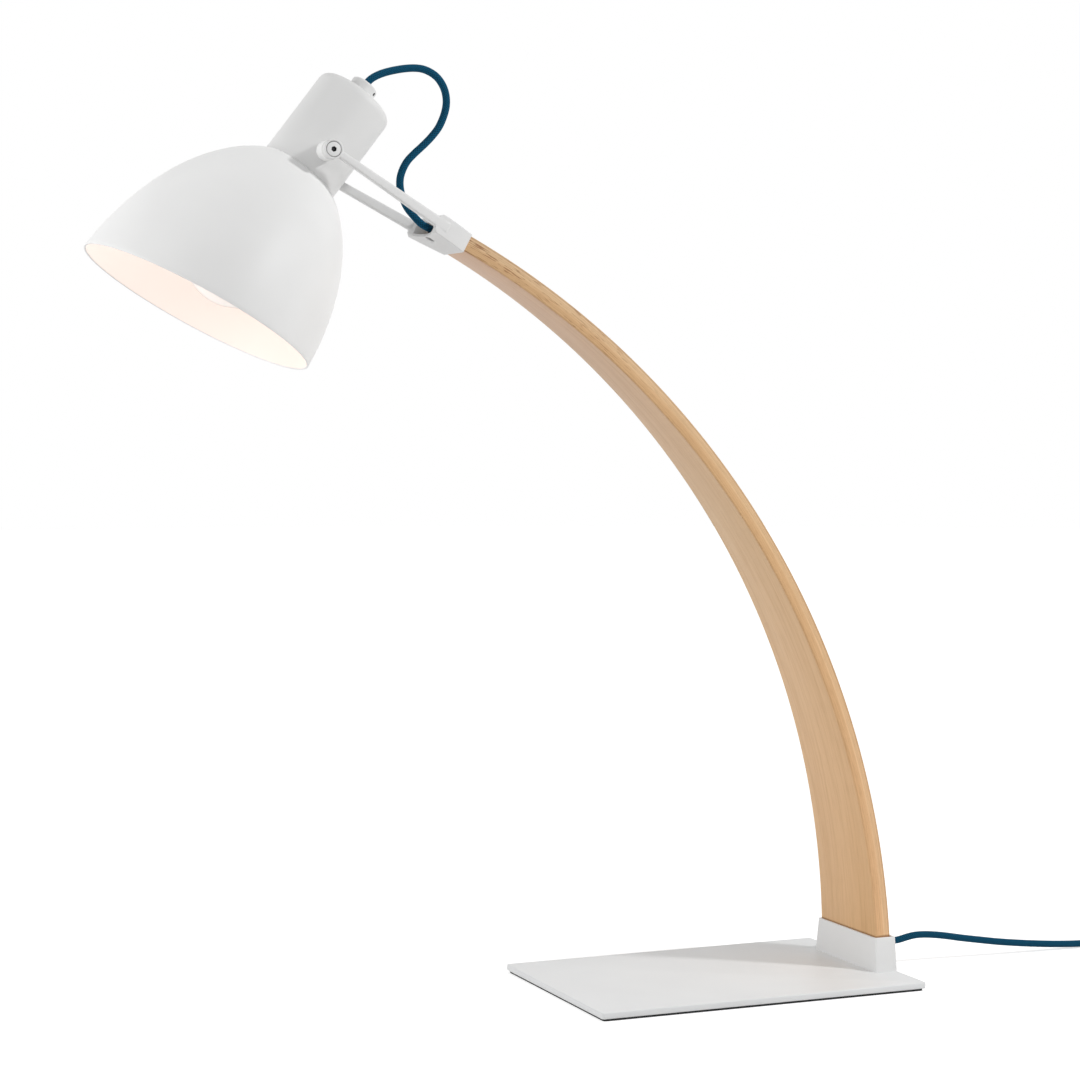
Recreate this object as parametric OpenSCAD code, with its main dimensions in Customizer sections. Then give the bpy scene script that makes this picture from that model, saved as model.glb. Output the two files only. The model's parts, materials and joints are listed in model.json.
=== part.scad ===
// Table lamp with a bent wooden arm, a forked bracket and a tilting dome shade.
// Millimetres, +Z up. The origin lies on the table, under the middle of the base plate.
// +X points to the arm socket and the mains lead, -X to the shade.

/* [Base] */
// Length of the base plate, front to back
base_l = 221; // [200:1:250]
// Width of the base plate
base_w = 152; // [130:1:190]
// Thickness of the steel base plate
base_t = 4; // [4:0.5:8]
// Radius of the base plate's corners
base_corner_r = 2; // [1:0.5:16]
// Thickness of the soft pad under the plate
pad_t = 1.5; // [1:0.25:3]
// Distance from the plate's edge in to the pad's edge
pad_inset = 1.5; // [1:0.5:8]

/* [Arm] */
// Thickness of the bent wooden arm
arm_t = 10.2; // [9:0.1:13]
// Bend radius of the arm, to the middle of its thickness
arm_bend_r = 519; // [450:1:600]
// Angle that the arm turns from its upright foot to the bracket
arm_sweep = 61.9; // [52:0.1:68]
// Width of the arm where it leaves the socket
arm_foot_w = 72; // [60:0.5:84]
// Width of the arm where it enters the bracket
arm_tip_w = 30.4; // [26:0.2:36]
// Height above the table at which the arm stands upright
arm_spring_z = 2.4; // [0:0.1:5]

/* [Arm socket] */
// Height of the socket above the plate
socket_h = 21.5; // [19:0.5:34]
// Wall in front of the arm and beside it, at the socket's top
socket_wall = 1.4; // [1:0.1:3]
// Wall behind the arm, at the socket's foot
socket_back = 2.6; // [1.6:0.1:4]
// Metal under the arm's foot
socket_floor = 2; // [1.5:0.25:4]
// How much further each side stands out at the socket's foot
socket_draft = 2.6; // [0:0.1:5]
// How much further the front stands out at the socket's foot
socket_front_draft = 0.7; // [0:0.1:3]
// Radius of the socket's upright edges
socket_edge_r = 1.25; // [1:0.25:4]
// Distance between the two screws under the socket
screw_spacing = 44; // [30:1:54]
// Shank diameter of those screws
screw_d = 5; // [4:0.5:6]
// Length of those screws
screw_l = 22; // [18:1:24]

/* [Fork bracket] */
// Distance from the end of the bare wood to the pivot
fork_l = 104; // [92:1:120]
// How far the pivot lies above the middle line of the arm's end
tine_rise = 2; // [0:0.2:4]
// Length of the cuff round the arm's end
cuff_l = 25; // [23:0.5:28]
// Depth of the wood inside the cuff
cuff_wood = 13; // [10:0.5:14]
// Metal over and under the wood
cuff_skin = 0.9; // [0.8:0.1:2]
// Metal beside the wood at the cuff's mouth
cuff_cheek = 0.8; // [0.6:0.1:2]
// Depth of the scoop in the cuff's front, where the cord enters
scoop_depth = 3.8; // [2:0.2:4]
// Metal under the cord's pocket in the cuff
cuff_floor = 2; // [1.6:0.1:2.4]
// Clear width between the tines at the cuff
tine_gap = 40; // [36:0.5:46]
// Width of a tine, measured sideways
tine_w = 4.2; // [3.6:0.1:5]
// Height of a tine at the cuff
tine_root_h = 6.6; // [5:0.1:8]
// Height of a tine at its eye
tine_tip_h = 4.4; // [3.5:0.1:6]
// Outside diameter of the pivot eyes
eye_d = 11.6; // [11:0.1:14]
// Thickness of the pivot eyes
eye_t = 4.6; // [4:0.1:6]

/* [Pivot] */
// Length of the bosses on the neck
boss_l = 9; // [7:0.5:12]
// Thickness of the friction washers
washer_t = 0.8; // [0.5:0.1:1.5]
// Shoulder diameter of the pivot screws
shoulder_d = 6; // [5:0.1:6.4]
// Head diameter of the pivot screws
pivot_head_d = 8.4; // [8:0.1:9.2]
// Head thickness of the pivot screws
pivot_head_t = 1.8; // [1.4:0.1:2.2]
// Thread diameter of the pivot screws
pivot_thread_d = 4; // [3:0.5:4]
// Angle of the neck from upright, as the head rests
head_lean = 37.9; // [30:0.1:45]

/* [Neck] */
// Outside diameter of the neck
neck_d = 48.4; // [47.8:0.2:50]
// Height of the neck above the pivot
neck_h = 44; // [41:0.5:48]
// Wall of the neck
neck_wall = 1.2; // [0.8:0.1:1.6]
// Radius of the neck's top edge
neck_round = 5.5; // [3:0.25:8]
// Diameter of the cord gland
gland_d = 16.5; // [14:0.25:19]
// Height of the cord gland
gland_h = 9.2; // [8:0.2:11]

/* [Shade] */
// Widest diameter of the dome
shade_d = 145; // [130:1:165]
// Depth of the dome from its crown to its widest ring
shade_depth = 118.5; // [112:0.5:126]
// Distance from the pivot down to the dome's crown
crown_drop = 8; // [7:0.5:11]
// Wall of the shade
shade_wall = 1.2; // [0.8:0.1:2]
// Distance from the pivot to the rim's middle
rim_drop = 115; // [108:0.5:116]
// Slant of the rim against the neck
rim_slant = 8.6; // [0:0.2:9]

/* [Lampholder and bulb] */
// Outside diameter of the lampholder
holder_d = 39.6; // [38:0.2:40.6]
// Length of the lampholder under the shade's collar
holder_skirt = 18; // [15:0.5:22]
// Height of the centre contact above the collar
holder_depth = 11.3; // [10:0.1:12.5]
// Height of the shade ring
ring_h = 8; // [5:0.5:10]
// Diameter of the bulb
bulb_d = 59; // [45:1:60]
// Length of the bulb with its cap
bulb_l = 103; // [98:1:108]
// Diameter of the bulb's screw cap
cap_d = 26.2; // [26:0.1:26.4]
// Length of the bulb's screw cap
cap_l = 26; // [24:0.5:28]
// Diameter of the threaded tube over the lampholder
nipple_d = 10; // [9:0.5:10]

/* [Lead] */
// Diameter of the textile cord
cord_d = 4.5; // [4:0.1:4.6]
// Room round the cord in the arm's channel
channel_clear = 0.5; // [0.2:0.1:0.8]
// Height of the lead's exit above the plate
exit_h = 10.5; // [9:0.5:12]
// Bend radius of the cord in the arm's foot
foot_bend_r = 9; // [8:0.5:12]
// Length of the strain relief
relief_l = 19.5; // [14:0.5:30]
// Outer bend radius of the coil
coil_outer_r = 30.5; // [30:0.5:36]
// Inner bend radius of the coil
coil_inner_r = 19; // [17:0.5:19]
// Distance between the coil's layers
coil_layer_h = 5; // [5:0.1:6]

/* [Switch and plug] */
// Length of the switch on the lead
switch_l = 54; // [50:1:54]
// Width of the switch
switch_w = 22; // [20:0.5:26]
// Height of the switch without its rocker
switch_h = 14; // [13:0.5:16]
// Wall of the switch's shells
switch_wall = 1.8; // [1.4:0.1:2.2]
// Length of the rocker
rocker_l = 14; // [12:0.5:16]
// Width of the rocker
rocker_w = 8.4; // [7:0.2:10]
// Angle that the rocker tips
rocker_tip = 14; // [10:1:16]
// Length of the plug's body
plug_l = 36; // [32:1:40]
// Width of the plug's body
plug_w = 32; // [30:0.5:36]
// Thickness of the plug's body
plug_t = 13.6; // [12:0.1:14]
// Diameter of the plug's pins
pin_d = 4; // [3.8:0.1:4.8]
// Free length of the plug's pins
pin_l = 19; // [17:0.5:20]
// Distance between the plug's pins
pin_spacing = 18.6; // [17:0.1:19.5]

/* [Hidden] */
$fn = 72;

// Clearances: a close fit, a running fit and the room for something to pass
fit = 0.1;
run_fit = 0.05;
pass = 0.3;
// Overlap of a cutting tool past the face that it cuts
cut = 1;
// Facets of the large arc
arc_fn = 360;

white = "whitesmoke";
steel = "silver";
cord_blue = "steelblue";

// Heights in the stand
base_top = pad_t + base_t;
socket_top = base_top + socket_h;
arm_foot_z = base_top + socket_floor;
exit_z = base_top + exit_h;
cord_r = cord_d / 2;
channel_r = cord_r + channel_clear;

// The arm's arc turns about (arm_cx, arm_cz); angles count up from its foot
arm_cx = base_l / 2 - socket_back - arm_t / 2 - arm_bend_r;
arm_cz = arm_spring_z;
function arc_angle(z) = asin((z - arm_cz) / arm_bend_r);
function arc_turn(length) = length / arm_bend_r * 180 / PI;
arm_a0 = arc_angle(arm_foot_z);
arm_a_socket = arc_angle(socket_top);
arm_a1 = arm_sweep + arc_turn(cuff_wood);
function arm_half_w(a) =
    (arm_foot_w + (arm_tip_w - arm_foot_w) * (a - arm_a_socket) / (arm_sweep - arm_a_socket)) / 2;
function arc_point(a, r) = [arm_cx + r * cos(a), 0, arm_cz + r * sin(a)];
// The cord leaves the arc here and bends to the rear
bend_a = asin((exit_z + foot_bend_r - arm_cz) / (arm_bend_r + foot_bend_r));
bend_c = arc_point(bend_a, arm_bend_r + foot_bend_r);

// The bracket's own frame starts at the end of the bare wood and runs along the arm
wood_end = arc_point(arm_sweep, arm_bend_r);
fork_dir = [-sin(arm_sweep), 0, cos(arm_sweep)];
fork_up = [cos(arm_sweep), 0, sin(arm_sweep)];
pivot = wood_end + fork_l * fork_dir + tine_rise * fork_up;
cuff_half_h = arm_t / 2 + fit + cuff_skin;
cuff_mouth_y = arm_tip_w / 2 + fit + cuff_cheek;
cuff_front_y = tine_gap / 2 + tine_w;
pocket_low = cuff_floor - cuff_half_h;
// Place and size of the screw that clamps the cord
clamp_x = cuff_wood + 4.4;
clamp_d = 6;
// The cord in the arm ends in the cuff's mouth
cord_end_a = arm_sweep + arc_turn(cuff_l - 3 * cut);

// Sideways places at the pivot
neck_r = neck_d / 2;
boss_y = neck_r + boss_l;
eye_y = boss_y + washer_t + run_fit;
eye_mid_y = eye_y + eye_t / 2;
eye_out_y = eye_y + eye_t;
head_seat_y = eye_out_y - pivot_head_t - 2 * run_fit;
boss_d = eye_d;
spigot_r = 4;
// Room round the sunk head of a pivot screw
head_gap = 0.4;

// Heights in the head, from the pivot along the neck
shade_r = shade_d / 2;
dome_c = -(crown_drop + shade_depth);
function dome_z(r, a, b) = dome_c + b * sqrt(1 - pow(r / a, 2));
collar_z = dome_z(neck_r, shade_r, shade_depth);
collar_hole_r = holder_d / 2 + pass;
contact_z = collar_z + holder_depth;
contact_t = 1.2;
// Room between the lampholder and the neck's top, and the depth of the threaded tube's seat
holder_headroom = 21;
nipple_seat = 9;
holder_taper = 8;
holder_bottom = collar_z - holder_skirt;
holder_top = neck_h - neck_wall - holder_headroom;
nipple_r = nipple_d / 2;
nut_t = 4;
gland_top = neck_h + gland_h;
gland_socket = 2.7;
bulb_r = bulb_d / 2;
bulb_tip = contact_z - bulb_l;
glass_top = contact_z - cap_l;
cap_r = cap_d / 2;

// Route of the free loop from the gland into the cuff
HEAD_ROUTE = [
    [-229.8, 0, 553], [-228.1, 0, 555.2], [-225.6, 0, 557.2], [-221.8, 0, 559.2], [-217.2, 0, 560.9],
    [-211.5, 0, 562.4], [-205.7, 0, 563.5], [-199.5, 0, 564.1], [-194, 0, 563.7], [-188.8, 0, 561.8],
    [-184.6, 0, 558.8], [-181.4, 0, 554.4], [-179.6, 0, 549.3], [-179.3, 0, 543.3], [-180.8, 0, 537],
    [-184, 0, 530], [-188.6, 0, 524.1], [-194, 0, 518.7], [-199.8, 0, 513.5], [-204.4, 0, 508.6],
    [-207.6, 0, 502.5], [-208.8, 0, 496.5], [-207.9, 0, 489.8], [-204.5, 0, 482], [-199.4, 0, 476],
    [-195, 0, 472], [-191.4, 0, 470.2]
];
// Route of the mains lead from the strain relief down to the table and into the switch
MAINS_ROUTE = [
    [130, 0, 16], [134.5, 0, 16.2], [140, 0, 17.3], [146, 0, 18.2], [153, 0, 18.2], [161, 0, 17.4],
    [170, 0, 16], [182, 0, 13.7], [196, 0, 11.3], [210, 0, 9], [225, 0, 7], [240, 0, 5.3], [256, 0, 3.8],
    [272, 0, 2.8], [287, 0, 2.4], [300, 0, 2.4], [307.7, -1.5, 2.4], [314.1, -5.9, 2.7],
    [318.5, -12.3, 3.4], [320, -20, 4.5], [320, -28, 5.8], [320, -35, 6.5], [320, -41, 6.5]
];
// Route from the switch down to the coil's lowest layer
SWITCH_ROUTE = [
    [320, -93, 6.5], [320, -98, 6.5], [320, -105, 5.9], [320, -112, 4.8], [320, -119, 4], [320, -124, 3.8]
];
// Route from the coil's top layer down to the plug
PLUG_ROUTE = [
    [285, -159, 18.8], [279, -159, 18.3], [272, -159, 16.4], [265, -159, 13.4], [258, -159, 10.4],
    [251, -159, 8], [245, -159, 7], [239, -159, 6.8]
];
// Places of the switch, the coil and the plug on the table
switch_c = [320, -67, 0];
switch_axis_z = 6.5;
coil_c = [289.5, -128.5];
coil_z = 3.8;
plug_at = [242, -159, 6.8];
// The coil's turns, its layers and the rings in a turn
coil_turns = 9.25;
coil_layers = 4;
coil_rings = 24;
tie_w = 8;
tie_t = 1.2;
tie_angles = [60, 200];
tie_room = 0.6;

// A round cord swept along a route, with its sides carried along without twist
function backwards(p) = [for (i = [len(p) - 1:-1:0]) p[i]];
function unit(v) = v / norm(v);
function route_dir(p, i) = unit(p[min(i + 1, len(p) - 1)] - p[max(i - 1, 0)]);
function square_to(v, t) = unit(v - (v * t) * t);
function route_sides(p) = [
    for (i = 0, s = square_to([0.01, 0.02, 1], route_dir(p, 0));
         i < len(p);
         i = i + 1, s = square_to(s, route_dir(p, min(i, len(p) - 1)))) s
];
module tube(p, d, sides) {
    s = route_sides(p);
    last = len(p) - 1;
    points = [
        for (i = [0:last]) let (t = route_dir(p, i), v = cross(t, s[i]))
            for (k = [0:sides - 1]) let (a = 360 * k / sides) p[i] + d / 2 * (cos(a) * s[i] + sin(a) * v)
    ];
    side_faces = [
        for (i = [0:last - 1], k = [0:sides - 1])
            let (a = i * sides + k, b = i * sides + (k + 1) % sides)
                each [[a, b + sides, b], [a, a + sides, b + sides]]
    ];
    start_cap = [for (k = [1:sides - 2]) [0, k, k + 1]];
    end_cap = [for (k = [1:sides - 2]) [last * sides, last * sides + k + 1, last * sides + k]];
    polyhedron(points, concat(side_faces, start_cap, end_cap), convexity = 10);
}

// The coil spirals in and out again, layer on layer, clockwise seen from above
function smooth(x) = let (c = max(0, min(1, x))) c * c * (3 - 2 * c);
coil_layer_turns = coil_turns / coil_layers;
function coil_radius(t) =
    let (k = min(floor(t / coil_layer_turns), coil_layers - 1), f = t / coil_layer_turns - k)
        k % 2 == 0 ? coil_outer_r - (coil_outer_r - coil_inner_r) * f
                   : coil_inner_r + (coil_outer_r - coil_inner_r) * f;
function coil_climb(t, m = 1) =
    m >= coil_layers ? 0 : smooth((t - m * coil_layer_turns) * 2 + 0.5) + coil_climb(t, m + 1);
function coil_point(t) = [
    coil_c.x + coil_radius(t) * cos(360 * t),
    coil_c.y - coil_radius(t) * sin(360 * t),
    coil_z + coil_layer_h * coil_climb(t)
];
COIL_TURNS = [for (i = [0:coil_turns * coil_rings]) coil_point(i / coil_rings)];
COIL_ROUTE = concat(
    [COIL_TURNS[0] + [0, cord_d, 0]],
    COIL_TURNS,
    [COIL_TURNS[len(COIL_TURNS) - 1] - [cord_d, 0, 0]]
);
coil_gap = min([
    for (i = [0:len(COIL_TURNS) - 1], j = [i + 8:1:len(COIL_TURNS) - 1]) norm(COIL_TURNS[i] - COIL_TURNS[j])
]) - cord_d;
function route_length(p) =
    [for (i = [1:len(p) - 1]) norm(p[i] - p[i - 1])] * [for (i = [1:len(p) - 1]) 1];
union() {  // cord_coil
    echo(str("least gap between the coil's turns: ", coil_gap, " mm"));
    echo(str("length of the coil: ", route_length(COIL_ROUTE), " mm"));
}

// A shape turned about Y from angle a to angle b of the arm's arc
module arm_arc(a, b)
    translate([arm_cx, 0, arm_cz])
        rotate([90, 0, 0])
            rotate([0, 0, a])
                rotate_extrude(angle = b - a, $fn = arc_fn)
                    children();

// The bent plank, larger all round by grow
module arm_blank(grow) {
    mid = (arm_a0 + arm_a1) / 2;
    steps = 30;
    angles = [for (i = [-1:steps + 1]) arm_a0 + (arm_a1 - arm_a0) * i / steps];
    edge = [for (a = angles) [arm_bend_r * sin(a - mid), arm_half_w(a) + grow]];
    outline = concat(edge, [for (i = [len(edge) - 1:-1:0]) [edge[i].x, -edge[i].y]]);
    intersection() {
        arm_arc(arm_a0, arm_a1)
            translate([arm_bend_r - arm_t / 2 - grow, -arm_foot_w])
                square([arm_t + 2 * grow, 2 * arm_foot_w]);
        translate([arm_cx, 0, arm_cz])
            rotate([0, -mid - 90, 0])
                translate([0, 0, -1.1 * arm_bend_r])
                    linear_extrude(0.4 * arm_bend_r)
                        polygon(outline);
    }
}

module fork_frame()
    translate(wood_end)
        rotate([0, 90 - arm_sweep, 0])
            rotate([0, 0, 180])
                children();

module head_frame()
    translate(pivot)
        rotate([0, head_lean, 0])
            children();

module both_sides()
    for (s = [0, 180])
        rotate([0, 0, s])
            children();

// A turned piece that lies along Y, starting at y
module along_y(y)
    translate([0, y, 0])
        rotate([-90, 0, 0])
            children();

module rounded_rect(l, w, r) {
    square([l - 2 * r, w], center = true);
    square([l, w - 2 * r], center = true);
    for (x = [-1, 1], y = [-1, 1])
        translate([x * (l / 2 - r), y * (w / 2 - r)])
            circle(r);
}

// Places of the two screws under the socket
module at_socket_screws()
    for (y = [-1, 1])
        translate([base_l / 2 - socket_back - arm_t / 2, y * screw_spacing / 2, 0])
            children();

module countersunk_screw(d, l, extra)
    union() {
        cylinder(d = d + 2 * extra, h = l);
        cylinder(r1 = d * 0.95 + extra, r2 = d / 2 + extra, h = d * 0.45);
    }

module base_pad()
    color("black")
        linear_extrude(pad_t)
            rounded_rect(base_l - 2 * pad_inset, base_w - 2 * pad_inset, base_corner_r);

module base_plate()
    color(white)
        difference() {
            translate([0, 0, pad_t])
                linear_extrude(base_t)
                    rounded_rect(base_l, base_w, base_corner_r);
            translate([0, 0, pad_t])
                at_socket_screws()
                    countersunk_screw(screw_d, base_t + cut, fit);
        }

module arm_socket() {
    front_top = arc_point(arm_a_socket, arm_bend_r - arm_t / 2).x - fit - socket_wall;
    back = base_l / 2;
    half_top = arm_foot_w / 2 + fit + socket_wall;
    module slab(front, half, z)
        translate([(front + back) / 2, 0, z])
            linear_extrude(0.01)
                rounded_rect(back - front, 2 * half, socket_edge_r, $fn = 32);
    color(white)
        difference() {
            hull() {
                slab(front_top - socket_front_draft, half_top + socket_draft, base_top);
                slab(front_top, half_top, socket_top - 0.01);
            }
            arm_blank(fit);
            at_socket_screws()
                translate([0, 0, base_top - cut])
                    cylinder(d = screw_d + 2 * fit, h = socket_floor + 2 * cut);
            translate([back - 2 * socket_back, 0, exit_z])
                rotate([0, 90, 0])
                    cylinder(r = relief_spigot_r + run_fit, h = 2 * socket_back + cut);
        }
}

module socket_screws()
    color(steel)
        translate([0, 0, pad_t])
            at_socket_screws()
                difference() {
                    countersunk_screw(screw_d, screw_l, 0);
                    translate([0, 0, -cut])
                        cylinder(d = screw_d * 0.6, h = screw_d * 0.4 + cut, $fn = 6);
                }

// The channel along the arm's middle, and the pocket in its foot where the cord bends to the rear
module cord_channel() {
    outlet_r = foot_bend_r - 1.2;
    arm_arc(arc_angle(exit_z), arm_a1 + 1)
        translate([arm_bend_r, 0])
            circle(channel_r);
    translate([bend_c.x - foot_bend_r - channel_r - pass, 0, exit_z])
        rotate([0, 90, 0])
            cylinder(r = outlet_r, h = arm_t);
}

module wooden_arm()
    color("burlywood")
        difference() {
            arm_blank(0);
            cord_channel();
            translate([0, 0, pad_t])
                at_socket_screws()
                    cylinder(d = screw_d + 2 * run_fit, h = screw_l);
        }

module arm_cord() {
    arc_steps = 36;
    bend_steps = 6;
    relief_tip = base_l / 2 + relief_l;
    along_arc = [
        for (i = [0:arc_steps]) arc_point(cord_end_a + (bend_a - cord_end_a) * i / arc_steps, arm_bend_r)
    ];
    round_bend = [
        for (i = [1:bend_steps]) let (a = 180 + bend_a + (90 - bend_a) * i / bend_steps)
            bend_c + foot_bend_r * [cos(a), 0, sin(a)]
    ];
    color(cord_blue)
        tube(concat(along_arc, round_bend, [[base_l / 2 + cord_d, 0, exit_z], [relief_tip, 0, exit_z]]),
             cord_d, 8);
}

relief_spigot_r = cord_r + 1.7;
relief_flange_r = relief_spigot_r + 1.6;
relief_flange_t = 1.6;
// The sleeve's inner end widens to a mouth, because the cord still bends there
relief_mouth_r = relief_spigot_r - 0.5;
relief_mouth_l = socket_back + 2.2;
module strain_relief()
    color("dimgray")
        translate([base_l / 2, 0, exit_z])
            rotate([0, 90, 0])
                difference() {
                    union() {
                        translate([0, 0, -socket_back])
                            cylinder(r = relief_spigot_r, h = socket_back + cut);
                        cylinder(r = relief_flange_r, h = relief_flange_t);
                        cylinder(r1 = relief_flange_r - 1, r2 = cord_r + 0.9, h = relief_l);
                    }
                    translate([0, 0, -socket_back - cut])
                        cylinder(r = cord_r + run_fit, h = socket_back + relief_l + 2 * cut);
                    translate([0, 0, -socket_back])
                        cylinder(r1 = relief_mouth_r, r2 = cord_r + run_fit, h = relief_mouth_l);
                }

// Seen from above, the cuff widens in a curve from the wood to the tines
function cuff_half_y(x) =
    let (f = x / cuff_l) cuff_mouth_y + (cuff_front_y - cuff_mouth_y) * (f + 0.4 * (f - f * f));
module cuff_plan() {
    steps = 10;
    scoop_r = 60;
    side = [for (i = [0:steps]) let (x = cuff_l * i / steps) [x, cuff_half_y(x)]];
    difference() {
        polygon(concat(side, [for (i = [steps:-1:0]) [side[i].x, -side[i].y]]));
        translate([cuff_l - scoop_depth + scoop_r, 0])
            circle(scoop_r);
    }
}

// Seen from the side, the cuff is a block whose front edges are cut off
module cuff_side() {
    edge = 2;
    front = cuff_l - edge;
    polygon([
        [0, -cuff_half_h], [front, -cuff_half_h], [cuff_l, edge - cuff_half_h],
        [cuff_l, cuff_half_h - edge], [front, cuff_half_h], [0, cuff_half_h]
    ]);
}

// One end of a tine: a bar section with rounded edges
module tine_section(x, y, z, h) {
    edge_r = 1;
    for (sy = [-1, 1], sz = [-1, 1])
        translate([x, y + sy * (tine_w / 2 - edge_r), z + sz * (h / 2 - edge_r)])
            rotate([0, 90, 0])
                cylinder(r = edge_r, h = edge_r, $fn = 16);
}

tine_slope = (eye_mid_y - (tine_gap + tine_w) / 2) / (fork_l - cuff_l);
// The tines start inside the cuff's front, a little above its middle line
tine_root_x = cuff_l - 8;
tine_root_z = 0.4;
function tine_y(x) = (tine_gap + tine_w) / 2 + tine_slope * (x - cuff_l);
module fork_bracket() {
    pocket_half_w = 17;
    pocket_roof = 2.4;
    pocket_h = cuff_half_h - pocket_low - pocket_roof;
    tine_tip_x = fork_l - eye_d / 4;
    color(white)
        difference() {
            fork_frame()
                difference() {
                    union() {
                        intersection() {
                            translate([0, 0, -cuff_half_h])
                                linear_extrude(2 * cuff_half_h)
                                    cuff_plan();
                            rotate([90, 0, 0])
                                translate([0, 0, -2 * cuff_front_y])
                                    linear_extrude(4 * cuff_front_y)
                                        cuff_side();
                        }
                        for (s = [-1, 1]) {
                            hull() {
                                tine_section(tine_root_x, s * tine_y(tine_root_x), tine_root_z, tine_root_h);
                                tine_section(tine_tip_x, s * tine_y(tine_tip_x), tine_rise, tine_tip_h);
                            }
                        }
                        translate([fork_l, 0, tine_rise])
                            both_sides()
                                along_y(eye_y)
                                    cylinder(d = eye_d, h = eye_t);
                    }
                    translate([cuff_wood - cut, -pocket_half_w, pocket_low])
                        cube([cuff_l, 2 * pocket_half_w, pocket_h]);
                    translate([clamp_x, 0, -cuff_half_h - cut])
                        cylinder(d = clamp_d, h = cuff_floor + 2 * cut);
                    translate([fork_l, 0, tine_rise])
                        both_sides() {
                            along_y(0)
                                cylinder(d = eye_d + 2 * pass, h = eye_y);
                            along_y(eye_y - cut)
                                cylinder(d = shoulder_d + 2 * run_fit, h = eye_t + 2 * cut);
                            along_y(head_seat_y)
                                cylinder(d = pivot_head_d + 2 * head_gap, h = eye_t);
                        }
                }
            arm_blank(fit);
        }
}

module cord_clamp_screw() {
    // The screw's tip touches the cord, which sags a little below the bracket's middle line
    tip_z = -cord_r - fit - clamp_x * clamp_x / (2 * arm_bend_r);
    sunk = 1.2;
    head_z = sunk - cuff_half_h;
    color(steel)
        fork_frame()
            translate([clamp_x, 0, head_z])
                difference() {
                    cylinder(d = clamp_d - 2 * run_fit, h = tip_z - head_z);
                    translate([0, 0, -cut])
                        cylinder(d = clamp_d / 2, h = cut + 1.2, $fn = 6);
                }
}

// Half outline of a cup with a rounded top edge, from z to top
module cup_outline(r, z, top, edge_r) {
    translate([0, z])
        square([r, top - edge_r - z]);
    translate([0, z])
        square([r - edge_r, top - z]);
    intersection() {
        translate([r - edge_r, top - edge_r])
            circle(edge_r);
        square([2 * r, 2 * top]);
    }
}

module neck_cup()
    color(white)
        head_frame()
            difference() {
                rotate_extrude()
                    difference() {
                        cup_outline(neck_r, collar_z, neck_h, neck_round);
                        cup_outline(neck_r - neck_wall, collar_z - cut, neck_h - neck_wall,
                                    neck_round - neck_wall);
                    }
                translate([0, 0, neck_h - 2 * neck_wall])
                    cylinder(r = nipple_r + fit, h = 3 * neck_wall);
                along_y(-neck_d)
                    cylinder(r = spigot_r + run_fit, h = 2 * neck_d);
            }

module pivot_bosses()
    color(white)
        head_frame()
            both_sides()
                difference() {
                    union() {
                        difference() {
                            along_y(neck_r / 2)
                                cylinder(d = boss_d, h = boss_y - neck_r / 2);
                            translate([0, 0, -boss_d])
                                cylinder(r = neck_r, h = 2 * boss_d);
                        }
                        along_y(neck_r - neck_wall - 0.8)
                            cylinder(r = spigot_r, h = boss_l / 2);
                    }
                    along_y(0)
                        cylinder(d = pivot_thread_d + 2 * run_fit, h = boss_y + cut);
                }

module friction_washers()
    color("gray")
        head_frame()
            both_sides()
                along_y(boss_y)
                    difference() {
                        cylinder(d = eye_d, h = washer_t);
                        translate([0, 0, -cut])
                            cylinder(d = shoulder_d + 2 * run_fit, h = washer_t + 2 * cut);
                    }

module pivot_screws() {
    thread_l = boss_l - 1;
    head_y = head_seat_y + run_fit;
    color(steel)
        head_frame()
            both_sides()
                difference() {
                    union() {
                        along_y(boss_y - thread_l)
                            cylinder(d = pivot_thread_d, h = thread_l + cut);
                        along_y(boss_y)
                            cylinder(d = shoulder_d, h = head_y - boss_y + cut);
                        along_y(head_y)
                            cylinder(d = pivot_head_d, h = pivot_head_t);
                    }
                    along_y(head_y + pivot_head_t - 1.4)
                        cylinder(d = pivot_head_d * 0.38, h = 2 * cut, $fn = 6);
                }
}

// Half of a dome's curve with half-axes a and b, from the height top down to its widest ring
function dome_curve(a, b, top) =
    let (steps = 30, start = asin((top - dome_c) / b))
        [for (i = [0:steps]) let (t = start * (1 - i / steps)) [a * cos(t), dome_c + b * sin(t)]];

module shade() {
    under = collar_z - shade_wall;
    outer = dome_curve(shade_r, shade_depth, collar_z);
    inner = dome_curve(shade_r - shade_wall, shade_depth - shade_wall, under);
    color(white)
        head_frame()
            difference() {
                rotate_extrude($fn = 120)
                    polygon(concat([[collar_hole_r, collar_z]], outer, backwards(inner),
                                   [[collar_hole_r, under]]));
                translate([0, 0, -rim_drop])
                    rotate([0, -rim_slant, 0])
                        translate([0, 0, -shade_depth])
                            cylinder(r = 1.5 * shade_r, h = shade_depth);
            }
}

module shade_ring()
    color(white)
        head_frame()
            translate([0, 0, collar_z - shade_wall - ring_h])
                difference() {
                    cylinder(r = neck_r - 1.6, h = ring_h);
                    translate([0, 0, -cut])
                        cylinder(d = holder_d + 2 * fit, h = ring_h + 2 * cut);
                }

shell_r = cap_r + pass;
shell_t = 0.6;
flange_t = 2;
holder_neck_r = nipple_r + 3.5;
lead_floor = holder_top - nipple_seat;
module lampholder_body()
    color("white")
        head_frame()
            difference() {
                union() {
                    translate([0, 0, holder_bottom])
                        cylinder(d = holder_d, h = holder_top - holder_taper - holder_bottom);
                    translate([0, 0, holder_top - holder_taper])
                        cylinder(r1 = holder_d / 2, r2 = holder_neck_r, h = holder_taper);
                    translate([0, 0, collar_z])
                        cylinder(r = neck_r - neck_wall - 0.5, h = flange_t);
                }
                translate([0, 0, holder_bottom - cut])
                    cylinder(r = shell_r + shell_t + fit, h = contact_z + contact_t - holder_bottom + cut);
                translate([0, 0, lead_floor])
                    cylinder(r = nipple_r + run_fit, h = holder_top);
            }

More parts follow.
